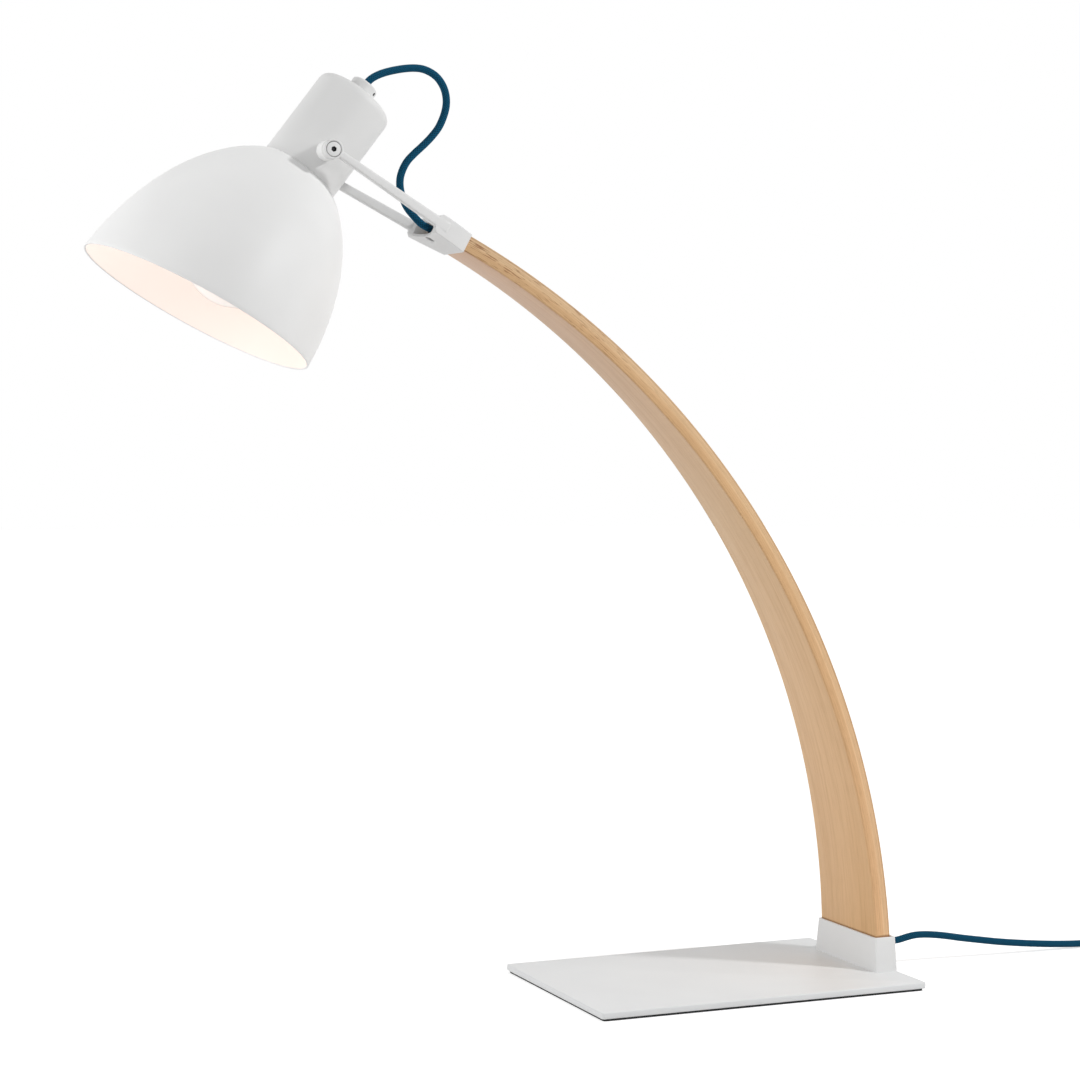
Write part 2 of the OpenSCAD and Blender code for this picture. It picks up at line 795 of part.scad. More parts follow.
module lampholder_shell()
    color("goldenrod")
        head_frame()
            translate([0, 0, holder_bottom + 2])
                difference() {
                    cylinder(r = shell_r + shell_t, h = contact_z - 2 - holder_bottom);
                    translate([0, 0, -cut])
                        cylinder(r = shell_r, h = contact_z - holder_bottom);
                }

module lampholder_contact()
    color("goldenrod")
        head_frame()
            translate([0, 0, contact_z])
                cylinder(r = 5, h = contact_t);

module holder_nipple()
    color(steel)
        head_frame()
            translate([0, 0, lead_floor])
                difference() {
                    cylinder(r = nipple_r, h = neck_h + gland_socket - 0.2 - lead_floor);
                    translate([0, 0, -cut])
                        cylinder(r = cord_r + 1, h = neck_h);
                }

module nipple_nut()
    color(steel)
        head_frame()
            translate([0, 0, neck_h - neck_wall - nut_t])
                difference() {
                    cylinder(r = 1.7 * nipple_r, h = nut_t, $fn = 6);
                    translate([0, 0, -cut])
                        cylinder(r = nipple_r + run_fit, h = nut_t + 2 * cut);
                }

set_screw_d = 2.2;
set_screw_z = neck_h + gland_socket + (gland_h - gland_socket) / 2 + 0.3;
set_screw_turn = -38;
module cord_gland()
    color(white)
        head_frame()
            difference() {
                union() {
                    translate([0, 0, neck_h])
                        cylinder(d = gland_d, h = gland_h - 1);
                    translate([0, 0, gland_top - 1])
                        cylinder(d1 = gland_d, d2 = gland_d - 2, h = 1);
                }
                translate([0, 0, neck_h - cut])
                    cylinder(r = nipple_r + run_fit, h = gland_socket + cut);
                translate([0, 0, neck_h])
                    cylinder(r = cord_r + fit, h = gland_h + cut);
                translate([0, 0, set_screw_z])
                    rotate([0, 0, set_screw_turn - 90])
                        along_y(0)
                            cylinder(d = set_screw_d + 2 * run_fit, h = gland_d);
            }

module gland_set_screw()
    color(steel)
        head_frame()
            translate([0, 0, set_screw_z])
                rotate([0, 0, set_screw_turn - 90])
                    difference() {
                        along_y(cord_r + fit)
                            cylinder(d = set_screw_d, h = gland_d / 2 - cord_r - 0.6);
                        along_y(gland_d / 2 - 1.2)
                            cylinder(d = set_screw_d / 2, h = 2, $fn = 6);
                    }

module holder_lead()
    color(cord_blue)
        head_frame()
            translate([0, 0, lead_floor])
                cylinder(r = cord_r, h = gland_top - lead_floor);

// Outline of the bulb's glass, from its tip round the globe and up to the cap
function glass_curve(r, tip, neck) =
    let (c = tip + r, a = 50, p = [r * cos(a), c + r * sin(a)], q = [neck, p.y + (p.x - neck) / tan(a)])
        concat([for (i = [0:24]) let (t = -90 + (a + 90) * i / 24) [r * cos(t), c + r * sin(t)]],
               [for (i = [1:8]) let (f = i / 8)
                   (1 - f) * (1 - f) * p + 2 * f * (1 - f) * q + f * f * [neck, glass_top]]);
glass_t = 0.8;
module bulb_glass() {
    outer = glass_curve(bulb_r, bulb_tip, cap_r);
    inner = glass_curve(bulb_r - glass_t, bulb_tip + glass_t, cap_r - glass_t);
    color("linen")
        head_frame()
            rotate_extrude()
                polygon(concat(outer, backwards(inner)));
}

tip_r = 4.4;
tip_h = 1.5;
module bulb_cap() {
    wall = 0.6;
    shoulder = contact_z - 6;
    top = contact_z - tip_h;
    color(steel)
        head_frame()
            rotate_extrude()
                polygon([
                    [cap_r - wall, glass_top], [cap_r, glass_top], [cap_r, shoulder], [tip_r + 0.2, top],
                    [0, top], [0, top - wall], [tip_r, top - wall], [cap_r - wall, shoulder - wall / 2]
                ]);
}

module bulb_contact()
    color("dimgray")
        head_frame()
            translate([0, 0, contact_z - tip_h])
                cylinder(r = tip_r, h = tip_h);

module head_cord()
    color(cord_blue)
        tube(HEAD_ROUTE, cord_d, 10);

module mains_cord()
    color(cord_blue)
        tube(MAINS_ROUTE, cord_d, 10);

module switch_cord()
    color(cord_blue)
        tube(SWITCH_ROUTE, cord_d, 10);

module plug_cord()
    color(cord_blue)
        tube(PLUG_ROUTE, cord_d, 10);

module cord_coil()
    color(cord_blue)
        tube(COIL_ROUTE, cord_d, 6);

// A strap round the coil's bundle of turns
module coil_ties() {
    bundle_in = coil_inner_r - cord_r - tie_room;
    bundle_out = coil_outer_r + cord_r + tie_room;
    bundle_top = coil_z + coil_layer_h * (coil_layers - 1) + cord_r + tie_room;
    bundle_low = coil_z - cord_r - fit;
    color("black")
        for (a = tie_angles)
            translate([coil_c.x, coil_c.y, 0])
                rotate([0, 0, a])
                    translate([0, tie_w / 2, 0])
                        rotate([90, 0, 0])
                            linear_extrude(tie_w)
                                translate([(bundle_in + bundle_out) / 2, (bundle_low + bundle_top) / 2])
                                    difference() {
                                        rounded_rect(bundle_out - bundle_in + 2 * tie_t,
                                                     bundle_top - bundle_low + 2 * tie_t, 3 + tie_t);
                                        rounded_rect(bundle_out - bundle_in, bundle_top - bundle_low, 3);
                                    }
}

// The switch lies along Y; its shells part at the height of the lead
shell_edge_r = 5;
rocker_axis_z = 10.6;
rocker_pin_d = 2.4;
rocker_room = 0.4;
// Each cheek beside the rocker holds one of its pins
cheek = [1.8, 6, 5];
opening = [rocker_w + 2 * rocker_room, rocker_l + 2 * rocker_room];
pin_bore_l = opening.x + 2 * cheek.x + cut;
screw_place = [switch_w / 2 - switch_wall - 2, switch_l / 2 - switch_wall - 7];
switch_screw_d = 2.6;
module at_switch()
    translate(switch_c)
        children();
module at_switch_screws()
    for (s = [-1, 1])
        translate([s * screw_place.x, s * screw_place.y, 0])
            children();
module switch_block(inset, z0, z1)
    translate([0, 0, z0])
        linear_extrude(z1 - z0)
            rounded_rect(switch_w - 2 * inset, switch_l - 2 * inset, shell_edge_r - inset);
module lead_hole()
    translate([0, 0, switch_axis_z])
        along_y(-switch_l)
            cylinder(r = cord_r + fit, h = 2 * switch_l);

module switch_lower()
    color("white")
        at_switch()
            difference() {
                union() {
                    difference() {
                        switch_block(0, 0, switch_axis_z);
                        switch_block(switch_wall, switch_wall, switch_axis_z + cut);
                    }
                    at_switch_screws()
                        cylinder(d = switch_screw_d + 3, h = switch_axis_z);
                }
                lead_hole();
                translate([0, 0, -cut])
                    at_switch_screws() {
                        cylinder(d = switch_screw_d + 2 * fit, h = switch_h);
                        cylinder(d = 2 * switch_screw_d, h = 2 + cut);
                    }
            }

module switch_upper()
    color("white")
        at_switch()
            difference() {
                union() {
                    difference() {
                        union() {
                            switch_block(0, switch_axis_z, switch_h - 1);
                            switch_block(0.8, switch_h - 1, switch_h);
                        }
                        switch_block(switch_wall, switch_axis_z - cut, switch_h - switch_wall);
                    }
                    at_switch_screws()
                        translate([0, 0, switch_axis_z])
                            cylinder(d = switch_screw_d + 3, h = switch_h - switch_wall - switch_axis_z);
                    translate([0, 0, switch_h - switch_wall / 2 - cheek.z / 2])
                        cube([opening.x + 2 * cheek.x, cheek.y, cheek.z], center = true);
                }
                lead_hole();
                translate([0, 0, switch_axis_z - cut])
                    at_switch_screws()
                        cylinder(d = switch_screw_d + 2 * run_fit, h = switch_h - switch_axis_z - 1);
                translate([-opening.x / 2, -opening.y / 2, switch_axis_z])
                    cube([opening.x, opening.y, switch_h]);
                translate([0, 0, rocker_axis_z])
                    rotate([0, 90, 0])
                        cylinder(d = rocker_pin_d + 2 * run_fit, h = pin_bore_l, center = true);
            }

// The rocker's two faces meet in a ridge; it rests tipped towards the lamp
module switch_rocker() {
    ridge = 3.6;
    face_end = 2.2;
    keel = 3;
    half = rocker_l / 2;
    color("dimgray")
        at_switch()
            translate([0, 0, rocker_axis_z])
                rotate([-rocker_tip / 2, 0, 0]) {
                    rotate([90, 0, 90])
                        translate([0, 0, -rocker_w / 2])
                            linear_extrude(rocker_w)
                                polygon([
                                    [-half, -0.4], [-half + 4, -keel], [half - 4, -keel], [half, -0.4],
                                    [half, face_end], [0, ridge - 0.6], [-half, face_end]
                                ]);
                    rotate([0, 90, 0])
                        cylinder(d = rocker_pin_d, h = rocker_w + 3, center = true);
                }
}

module switch_contacts()
    color("goldenrod")
        at_switch()
            for (s = [-1, 1])
                translate([0, s * (switch_l / 2 - switch_wall - 9), switch_wall])
                    difference() {
                        translate([-2.5, -3, 0])
                            cube([5, 6, 3.4]);
                        translate([0, 0, 1.7])
                            along_y(-4)
                                cylinder(d = 1.8, h = 8);
                    }

module switch_screws()
    color(steel)
        at_switch()
            at_switch_screws()
                difference() {
                    union() {
                        translate([0, 0, 0.6])
                            cylinder(d = 2 * switch_screw_d - 2 * fit, h = 1.4);
                        translate([0, 0, 0.6])
                            cylinder(d = switch_screw_d, h = switch_h - 5);
                    }
                    cube([0.8, 3.4, 2.2], center = true);
                }

// The plug points to -X with its pins side by side
plug_front = plug_at.x - plug_l;
// The pins have a thicker root inside the body
pin_seat = 9;
pin_root_d = pin_d + 1.6;
module plug_body() {
    rear_w = 11;
    rear_t = 9;
    shoulder = 14;
    module slab(x, l, w, t)
        translate([x, plug_at.y, plug_at.z])
            rotate([0, 90, 0])
                linear_extrude(l)
                    rounded_rect(t, w, 3.5, $fn = 24);
    color("black")
        difference() {
            hull() {
                slab(plug_at.x - 1, 1, rear_w, rear_t);
                slab(plug_front, plug_l - shoulder, plug_w, plug_t);
            }
            translate([plug_at.x - 8, plug_at.y, plug_at.z])
                rotate([0, 90, 0])
                    cylinder(r = cord_r + fit, h = 8 + cut);
            for (s = [-1, 1])
                translate([plug_front - cut, plug_at.y + s * pin_spacing / 2, plug_at.z])
                    rotate([0, 90, 0])
                        cylinder(d = pin_root_d + 2 * run_fit, h = pin_seat + cut);
        }
}

module plug_pins() {
    tip = 1;
    color(steel)
        for (s = [-1, 1])
            translate([plug_front - pin_l, plug_at.y + s * pin_spacing / 2, plug_at.z])
                rotate([0, 90, 0]) {
                    cylinder(d1 = pin_d - 2 * tip, d2 = pin_d, h = tip);
                    translate([0, 0, tip])
                        cylinder(d = pin_d, h = pin_l - tip);
                    translate([0, 0, pin_l])
                        cylinder(d = pin_root_d, h = pin_seat);
                }
}

base_pad();
base_plate();
arm_socket();
socket_screws();
wooden_arm();
arm_cord();
strain_relief();
fork_bracket();
cord_clamp_screw();
neck_cup();
pivot_bosses();
friction_washers();
pivot_screws();
shade();
shade_ring();
lampholder_body();
lampholder_shell();
lampholder_contact();
holder_nipple();
nipple_nut();
cord_gland();
gland_set_screw();
holder_lead();
bulb_glass();
bulb_cap();
bulb_contact();
head_cord();
mains_cord();
switch_lower();
switch_upper();
switch_rocker();
switch_contacts();
switch_screws();
switch_cord();
cord_coil();
coil_ties();
plug_cord();
plug_body();
plug_pins();
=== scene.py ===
"""Looks of the table lamp: white coated metal, a bent laminated arm, a blue textile cord and a lit bulb.

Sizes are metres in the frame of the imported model: +Z up, +X to the arm socket, -X to the shade.
"""
import json
import math

import bmesh
import bpy
from mathutils import Matrix, Vector

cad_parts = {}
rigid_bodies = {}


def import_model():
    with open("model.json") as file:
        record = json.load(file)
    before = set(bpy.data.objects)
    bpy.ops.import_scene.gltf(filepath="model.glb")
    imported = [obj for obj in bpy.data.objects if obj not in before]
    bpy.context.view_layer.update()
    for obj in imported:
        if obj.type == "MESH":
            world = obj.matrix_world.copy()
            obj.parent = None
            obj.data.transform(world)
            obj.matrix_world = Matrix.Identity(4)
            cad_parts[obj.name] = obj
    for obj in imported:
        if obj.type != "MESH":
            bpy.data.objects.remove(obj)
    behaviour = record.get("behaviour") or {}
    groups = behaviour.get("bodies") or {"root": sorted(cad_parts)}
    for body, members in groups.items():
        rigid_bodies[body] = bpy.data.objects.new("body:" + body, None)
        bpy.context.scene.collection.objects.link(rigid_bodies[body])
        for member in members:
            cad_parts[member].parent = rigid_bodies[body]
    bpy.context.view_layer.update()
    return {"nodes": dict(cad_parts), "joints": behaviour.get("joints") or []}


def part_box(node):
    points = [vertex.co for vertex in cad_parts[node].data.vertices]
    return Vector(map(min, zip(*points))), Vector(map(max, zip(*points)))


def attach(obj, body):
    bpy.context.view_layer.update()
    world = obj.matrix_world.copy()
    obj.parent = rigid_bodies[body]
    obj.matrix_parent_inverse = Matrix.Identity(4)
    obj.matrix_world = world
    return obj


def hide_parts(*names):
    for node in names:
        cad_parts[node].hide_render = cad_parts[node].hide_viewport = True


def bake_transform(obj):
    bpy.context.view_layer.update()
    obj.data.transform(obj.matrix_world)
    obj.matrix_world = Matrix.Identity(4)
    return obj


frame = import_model()

MM = 0.001
X, Y, Z = Vector((1, 0, 0)), Vector((0, 1, 0)), Vector((0, 0, 1))


def joint_place(name):
    """The rest position of a joint, from the record."""
    return Vector(next(j["pos_m"] for j in frame["joints"] if j["name"] == name))


# Driving sizes, as in the part's source
BASE_L = 221 * MM
BASE_W = 152 * MM
BASE_CORNER_R = 2 * MM
PLATE_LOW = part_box("base_plate")[0].z
PLATE_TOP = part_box("base_plate")[1].z
PAD_INSET = 1.5 * MM
SOCKET_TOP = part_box("arm_socket")[1].z
ARM_T = 10.2 * MM
ARM_R = 519 * MM
ARM_SWEEP = math.radians(61.9)
ARM_FOOT_W = 72 * MM
ARM_TIP_W = 30.4 * MM
SOCKET_BACK = 2.6 * MM
ARM_CENTRE = Vector((BASE_L / 2 - SOCKET_BACK - ARM_T / 2 - ARM_R, 0, 2.4 * MM))
ARM_IN_CUFF = 13 * MM
PIVOT = joint_place("head_tilt")
HEAD_LEAN = math.radians(37.9)
HEAD = Matrix.Translation(PIVOT) @ Matrix.Rotation(HEAD_LEAN, 4, "Y")
NECK_R = 24.2 * MM
NECK_TOP = 44 * MM
NECK_WALL = 1.2 * MM
SHADE_A = 72.5 * MM
SHADE_B = 118.5 * MM
DOME_C = -126.5 * MM
COLLAR_Z = DOME_C + SHADE_B * math.sqrt(1 - (NECK_R / SHADE_A) ** 2)
SHADE_WALL = 1.2 * MM
HOLDER_R = 19.8 * MM
RIM_DROP = 115 * MM
RIM_SLANT = math.radians(8.6)
BOSS_R = 5.8 * MM
BOSS_END = 33.2 * MM
WASHER_END = 34 * MM
CORD_R = 2.25 * MM
EXIT_Z = 16 * MM
RELIEF_TIP = 130 * MM

# Routes of the cords, in millimetres
HEAD_ROUTE = [
    (-229.8, 0, 553), (-228.1, 0, 555.2), (-225.6, 0, 557.2), (-221.8, 0, 559.2), (-217.2, 0, 560.9),
    (-211.5, 0, 562.4), (-205.7, 0, 563.5), (-199.5, 0, 564.1), (-194, 0, 563.7), (-188.8, 0, 561.8),
    (-184.6, 0, 558.8), (-181.4, 0, 554.4), (-179.6, 0, 549.3), (-179.3, 0, 543.3), (-180.8, 0, 537),
    (-184, 0, 530), (-188.6, 0, 524.1), (-194, 0, 518.7), (-199.8, 0, 513.5), (-204.4, 0, 508.6),
    (-207.6, 0, 502.5), (-208.8, 0, 496.5), (-207.9, 0, 489.8), (-204.5, 0, 482), (-199.4, 0, 476),
    (-195, 0, 472), (-191.4, 0, 470.2),
]
MAINS_ROUTE = [
    (130, 0, 16), (134.5, 0, 16.2), (140, 0, 17.3), (146, 0, 18.2), (153, 0, 18.2), (161, 0, 17.4),
    (170, 0, 16), (182, 0, 13.7), (196, 0, 11.3), (210, 0, 9), (225, 0, 7), (240, 0, 5.3), (256, 0, 3.8),
    (272, 0, 2.8), (287, 0, 2.4), (300, 0, 2.4), (307.7, -1.5, 2.4), (314.1, -5.9, 2.7),
    (318.5, -12.3, 3.4), (320, -20, 4.5), (320, -28, 5.8), (320, -35, 6.5), (320, -41, 6.5),
]
SWITCH_ROUTE = [
    (320, -93, 6.5), (320, -98, 6.5), (320, -105, 5.9), (320, -112, 4.8), (320, -119, 4), (320, -124, 3.8),
]
PLUG_ROUTE = [
    (285, -159, 18.8), (279, -159, 18.3), (272, -159, 16.4), (265, -159, 13.4), (258, -159, 10.4),
    (251, -159, 8), (245, -159, 7), (239, -159, 6.8),
]
COIL_C = (289.5, -128.5)
COIL_Z = 3.8
COIL_OUTER_R = 30.5
COIL_INNER_R = 19
COIL_TURNS = 9.25
COIL_LAYERS = 4
COIL_LAYER_H = 5
COIL_RINGS = 24


# Camera at the photo's place, with the photo's field of view

CAMERA_AT = Vector((-0.75519, -1.52120, 0.36923))
CAMERA_YAW = -0.3963
CAMERA_PITCH = 0.0528
CAMERA_FOCAL = 2705.76
PHOTO_SIZE = 1080
SENSOR = 36.0
VIEW_END = 20


def make_camera():
    data = bpy.data.cameras.new("photo_camera")
    data.sensor_width = SENSOR
    data.lens = SENSOR * CAMERA_FOCAL / PHOTO_SIZE
    data.clip_end = VIEW_END
    camera = bpy.data.objects.new("photo_camera", data)
    bpy.context.scene.collection.objects.link(camera)
    camera.location = CAMERA_AT
    camera.rotation_euler = (math.pi / 2 - CAMERA_PITCH, 0, CAMERA_YAW)
    bpy.context.scene.camera = camera


# Material helpers

def new_material(name):
    material = bpy.data.materials.new(name)
    material.use_nodes = True
    tree = material.node_tree
    return material, tree, tree.nodes["Principled BSDF"]


def add_node(tree, kind, **values):
    node = tree.nodes.new(kind)
    for key, value in values.items():
        if key in node.inputs:
            node.inputs[key].default_value = value
        else:
            setattr(node, key, value)
    return node


def position(tree):
    """The place on the object, in metres."""
    return add_node(tree, "ShaderNodeTexCoord").outputs["Object"]


def attribute(tree, name):
    return add_node(tree, "ShaderNodeAttribute", attribute_name=name).outputs["Vector"]


def split_xyz(tree, vector):
    node = add_node(tree, "ShaderNodeSeparateXYZ")
    tree.links.new(vector, node.inputs[0])
    return node.outputs


def scaled(tree, vector, scale):
    node = add_node(tree, "ShaderNodeVectorMath", operation="MULTIPLY")
    tree.links.new(vector, node.inputs[0])
    node.inputs[1].default_value = scale
    return node.outputs[0]


def noise(tree, vector, scale, detail=3.0, rough=0.5):
    node = add_node(tree, "ShaderNodeTexNoise", Scale=scale, Detail=detail, Roughness=rough)
    tree.links.new(vector, node.inputs["Vector"])
    return node.outputs["Fac"]


def ramp(tree, factor, stops):
    """A colour ramp; each stop is a place and a colour."""
    node = add_node(tree, "ShaderNodeValToRGB")
    elements = node.color_ramp.elements
    while len(elements) < len(stops):
        elements.new(0.5)
    for element, (place, color) in zip(elements, stops):
        element.position = place
        element.color = (*color, 1)
    tree.links.new(factor, node.inputs["Fac"])
    return node.outputs["Color"]


def remap(tree, value, low, high, to_low, to_high):
    node = add_node(tree, "ShaderNodeMapRange")
    node.inputs["From Min"].default_value = low
    node.inputs["From Max"].default_value = high
    node.inputs["To Min"].default_value = to_low
    node.inputs["To Max"].default_value = to_high
    tree.links.new(value, node.inputs["Value"])
    return node.outputs["Result"]


def math_node(tree, operation, a, b=None, c=None):
    node = add_node(tree, "ShaderNodeMath", operation=operation)
    for socket, value in zip(node.inputs, (a, b, c)):
        if isinstance(value, (int, float)):
            socket.default_value = value
        elif value is not None:
            tree.links.new(value, socket)
    return node.outputs[0]


def mix_color(tree, factor, a, b, blend="MIX"):
    node = add_node(tree, "ShaderNodeMix", data_type="RGBA", blend_type=blend)
    sockets = {s.identifier: s for s in node.inputs}
    for key, value in (("Factor_Float", factor), ("A_Color", a), ("B_Color", b)):
        if isinstance(value, bpy.types.NodeSocket):
            tree.links.new(value, sockets[key])
        elif isinstance(value, tuple):
            sockets[key].default_value = (*value, 1)
        else:
            sockets[key].default_value = value
    return next(s for s in node.outputs if s.identifier == "Result_Color")


def tinted(tree, amount, color, tone):
    """The colour multiplied by a tone, as far as the amount says."""
    return mix_color(tree, amount, color, tone, "MULTIPLY")


def set_inputs(tree, shader, **values):
    """Constants and links on a shader; an underscore in a name stands for a space."""
    for key, value in values.items():
        socket = shader.inputs[key.replace("_", " ")]
        if isinstance(value, bpy.types.NodeSocket):
            tree.links.new(value, socket)
        else:
            socket.default_value = value


def uneven_color(tree, shader, pattern, color, dim):
    """A base colour that drifts between the colour and a dimmer one."""
    dimmer = tuple(c * dim for c in color)
    set_inputs(tree, shader, Base_Color=ramp(tree, pattern, [(NOISE_LOW, dimmer), (NOISE_HIGH, color)]))


def uneven_gloss(tree, shader, pattern, low, high):
    """A roughness that drifts between two values."""
    set_inputs(tree, shader, Roughness=remap(tree, pattern, NOISE_LOW, NOISE_HIGH, low, high))


def seen_directly(tree):
    """One for what the camera sees, also mirrored or through glass, and zero for light on surfaces."""
    paths = add_node(tree, "ShaderNodeLightPath").outputs
    direct = math_node(tree, "MAXIMUM", paths["Is Camera Ray"], paths["Is Glossy Ray"])
    return math_node(tree, "MAXIMUM", direct, paths["Is Transmission Ray"])


def bump(tree, shader, height, strength, distance):
    node = add_node(tree, "ShaderNodeBump", Strength=strength, Distance=distance)
    tree.links.new(height, node.inputs["Height"])
    tree.links.new(node.outputs["Normal"], shader.inputs["Normal"])


# Materials

NOISE_LOW, NOISE_HIGH = 0.3, 0.7
PEEL_SCALE = 2600
PEEL_DEPTH = 0.08 * MM
PLAIN = (1.0, 1.0, 1.0)


def coated_metal(name, color, rough=0.45):
    """Powder coat: a faint orange peel, and a little unevenness in colour and gloss."""
    material, tree, shader = new_material(name)
    place = position(tree)
    peel = noise(tree, place, PEEL_SCALE, 2)
    uneven_color(tree, shader, noise(tree, place, 18, 2), color, 0.965)
    uneven_gloss(tree, shader, peel, rough - 0.05, rough + 0.06)
    set_inputs(tree, shader, Specular_IOR_Level=0.4)
    bump(tree, shader, peel, 0.12, PEEL_DEPTH)
    return material


LIT_FRONT = PIVOT.x - 130 * MM
LIT_REAR = PIVOT.x - 10 * MM


def lit_coat(name):
    """The shade's inside: the same coat, with the bulb's light painted on as a warm glow, stronger at the
    front rim.
    """
    material, tree, shader = new_material(name)
    place = position(tree)
    cloudy = noise(tree, place, 9, 2)
    # Painted light: the warm tint and the glow stand for the bulb's light on the white coat
    warm = ramp(tree, cloudy, [(NOISE_LOW, (0.78, 0.70, 0.655)), (NOISE_HIGH, (0.80, 0.72, 0.675))])
    level = remap(tree, split_xyz(tree, place)["X"], LIT_FRONT, LIT_REAR, 0.55, 0.33)
    set_inputs(tree, shader, Base_Color=warm, Emission_Color=warm, Emission_Strength=level, Roughness=0.5)
    bump(tree, shader, noise(tree, place, PEEL_SCALE, 2), 0.1, PEEL_DEPTH)
    return material


PLY = 1.45 * MM
LAYER_SHIFT = 7.0


def wood_tone(tree, along, on_edge):
    """Pinker near the bracket, warmer near the foot, where the plank's edge is paler than its faces."""
    height = remap(tree, along, 0.03, 0.55, 0, 1)
    face_tone = ramp(tree, height, [
        (0.0, (0.735, 0.452, 0.222)), (0.2, (0.780, 0.495, 0.262)), (0.55, (0.705, 0.472, 0.266)),
        (1.0, (0.737, 0.494, 0.338)),
    ])
    edge_tone = ramp(tree, height, [
        (0.0, (0.880, 0.578, 0.332)), (0.5, (0.765, 0.512, 0.282)), (1.0, (0.720, 0.500, 0.290)),
    ])
    return mix_color(tree, on_edge, face_tone, edge_tone)


def wood_grain(tree, colored, grain_place, streaks):
    """Broad bands, fine streaks and pores."""
    broad = noise(tree, scaled(tree, grain_place, (3.5, 60, 60)), 1.0, 3)
    broad_tone = ramp(tree, broad, [(0.28, (0.93, 0.90, 0.86)), (0.50, PLAIN), (0.75, (1.05, 1.06, 1.08))])
    colored = tinted(tree, 0.8, colored, broad_tone)
    dark, light = (0.84, 0.79, 0.74), (1.04, 1.03, 1.02)
    streak_tone = ramp(tree, streaks, [(0.30, dark), (0.52, PLAIN), (0.75, light)])
    colored = tinted(tree, 0.55, colored, streak_tone)
    pores = noise(tree, scaled(tree, grain_place, (90, 2400, 2400)), 1.0, 2)
    pore_tone = ramp(tree, pores, [(0.36, (0.62, 0.50, 0.40)), (0.46, PLAIN)])
    return tinted(tree, 0.18, colored, pore_tone)


def wood_layers(tree, colored, on_edge, along, through, layers, layer_value, grain_place):
    """The plank's edge shows its layers, glue lines and dark flecks; the broad faces show one layer."""
    def on_edge_only(amount):
        return math_node(tree, "MULTIPLY", on_edge, amount)

    layer_tone = ramp(tree, layer_value, [(0.0, (0.90, 0.86, 0.80)), (1.0, (1.06, 1.05, 1.02))])
    colored = tinted(tree, on_edge_only(0.8), colored, layer_tone)
    glue_line = ramp(tree, math_node(tree, "FRACT", layers), [(0.0, (0.55, 0.42, 0.30)), (0.07, PLAIN)])
    colored = tinted(tree, on_edge_only(0.7), colored, glue_line)
    flecks = noise(tree, scaled(tree, grain_place, (90, 300, 950)), 1.0, 2)
    fleck_tone = ramp(tree, flecks, [(0.34, (0.48, 0.34, 0.24)), (0.42, PLAIN)])
    near_tip = remap(tree, along, 0.40, 0.53, 0.12, 0.95)
    colored = tinted(tree, on_edge_only(near_tip), colored, fleck_tone)
    # Across the edge: darker next to both corners, most next to the outer one
    side = remap(tree, through, -ARM_T / 2, ARM_T / 2, 0, 1)
    band_tone = ramp(tree, side, [
        (0.06, (0.86, 0.80, 0.74)), (0.16, (1.0, 0.95, 0.89)), (0.45, (1.0, 0.95, 0.90)),
        (0.62, (1.01, 1.02, 1.03)), (0.82, (1.0, 1.0, 1.02)), (0.92, (0.72, 0.68, 0.64)),
    ])
    return tinted(tree, on_edge, colored, band_tone)


def bent_wood(name):
    """Laminated wood in the arm's own coordinates: along the arc, across it and through its layers."""
    material, tree, shader = new_material(name)
    along, across, through = split_xyz(tree, attribute(tree, "wood_place"))
    layers = math_node(tree, "DIVIDE", through, PLY)
    pick = add_node(tree, "ShaderNodeTexWhiteNoise", noise_dimensions="1D")
    tree.links.new(math_node(tree, "FLOOR", layers), pick.inputs["W"])
    layer_value = pick.outputs["Value"]
    moved = add_node(tree, "ShaderNodeCombineXYZ")
    shifted = math_node(tree, "MULTIPLY_ADD", layer_value, LAYER_SHIFT, along)
    for value, socket in zip((shifted, across, through), moved.inputs):
        tree.links.new(value, socket)
    grain_place = moved.outputs[0]
    streaks = noise(tree, scaled(tree, grain_place, (14, 420, 900)), 1.0, 5, 0.6)
    inset = math_node(tree, "ABSOLUTE", through)
    on_edge = remap(tree, inset, ARM_T / 2 - 0.45 * MM, ARM_T / 2 - 0.25 * MM, 1, 0)

    colored = wood_tone(tree, along, on_edge)
    colored = wood_grain(tree, colored, grain_place, streaks)
    colored = wood_layers(tree, colored, on_edge, along, through, layers, layer_value, grain_place)

    # Painted shade: a dark line on the wood where it meets the socket, for the shadow in the gap
    seat = SOCKET_TOP - ARM_CENTRE.z
    above_seat = remap(tree, along, seat, seat + 2 * MM, 0, 1)
    seat_shadow_tone = ramp(tree, above_seat, [(0.0, (0.40, 0.32, 0.25)), (0.4, (0.55, 0.48, 0.40)), (0.8, PLAIN)])
    colored = tinted(tree, 1.0, colored, seat_shadow_tone)
    set_inputs(tree, shader, Base_Color=colored, Specular_IOR_Level=0.35)
    uneven_gloss(tree, shader, streaks, 0.52, 0.40)
    bump(tree, shader, streaks, 0.15, 0.1 * MM)
    return material


YARNS_EACH_WAY = 8
BRAID_PITCH = 1.5 * MM


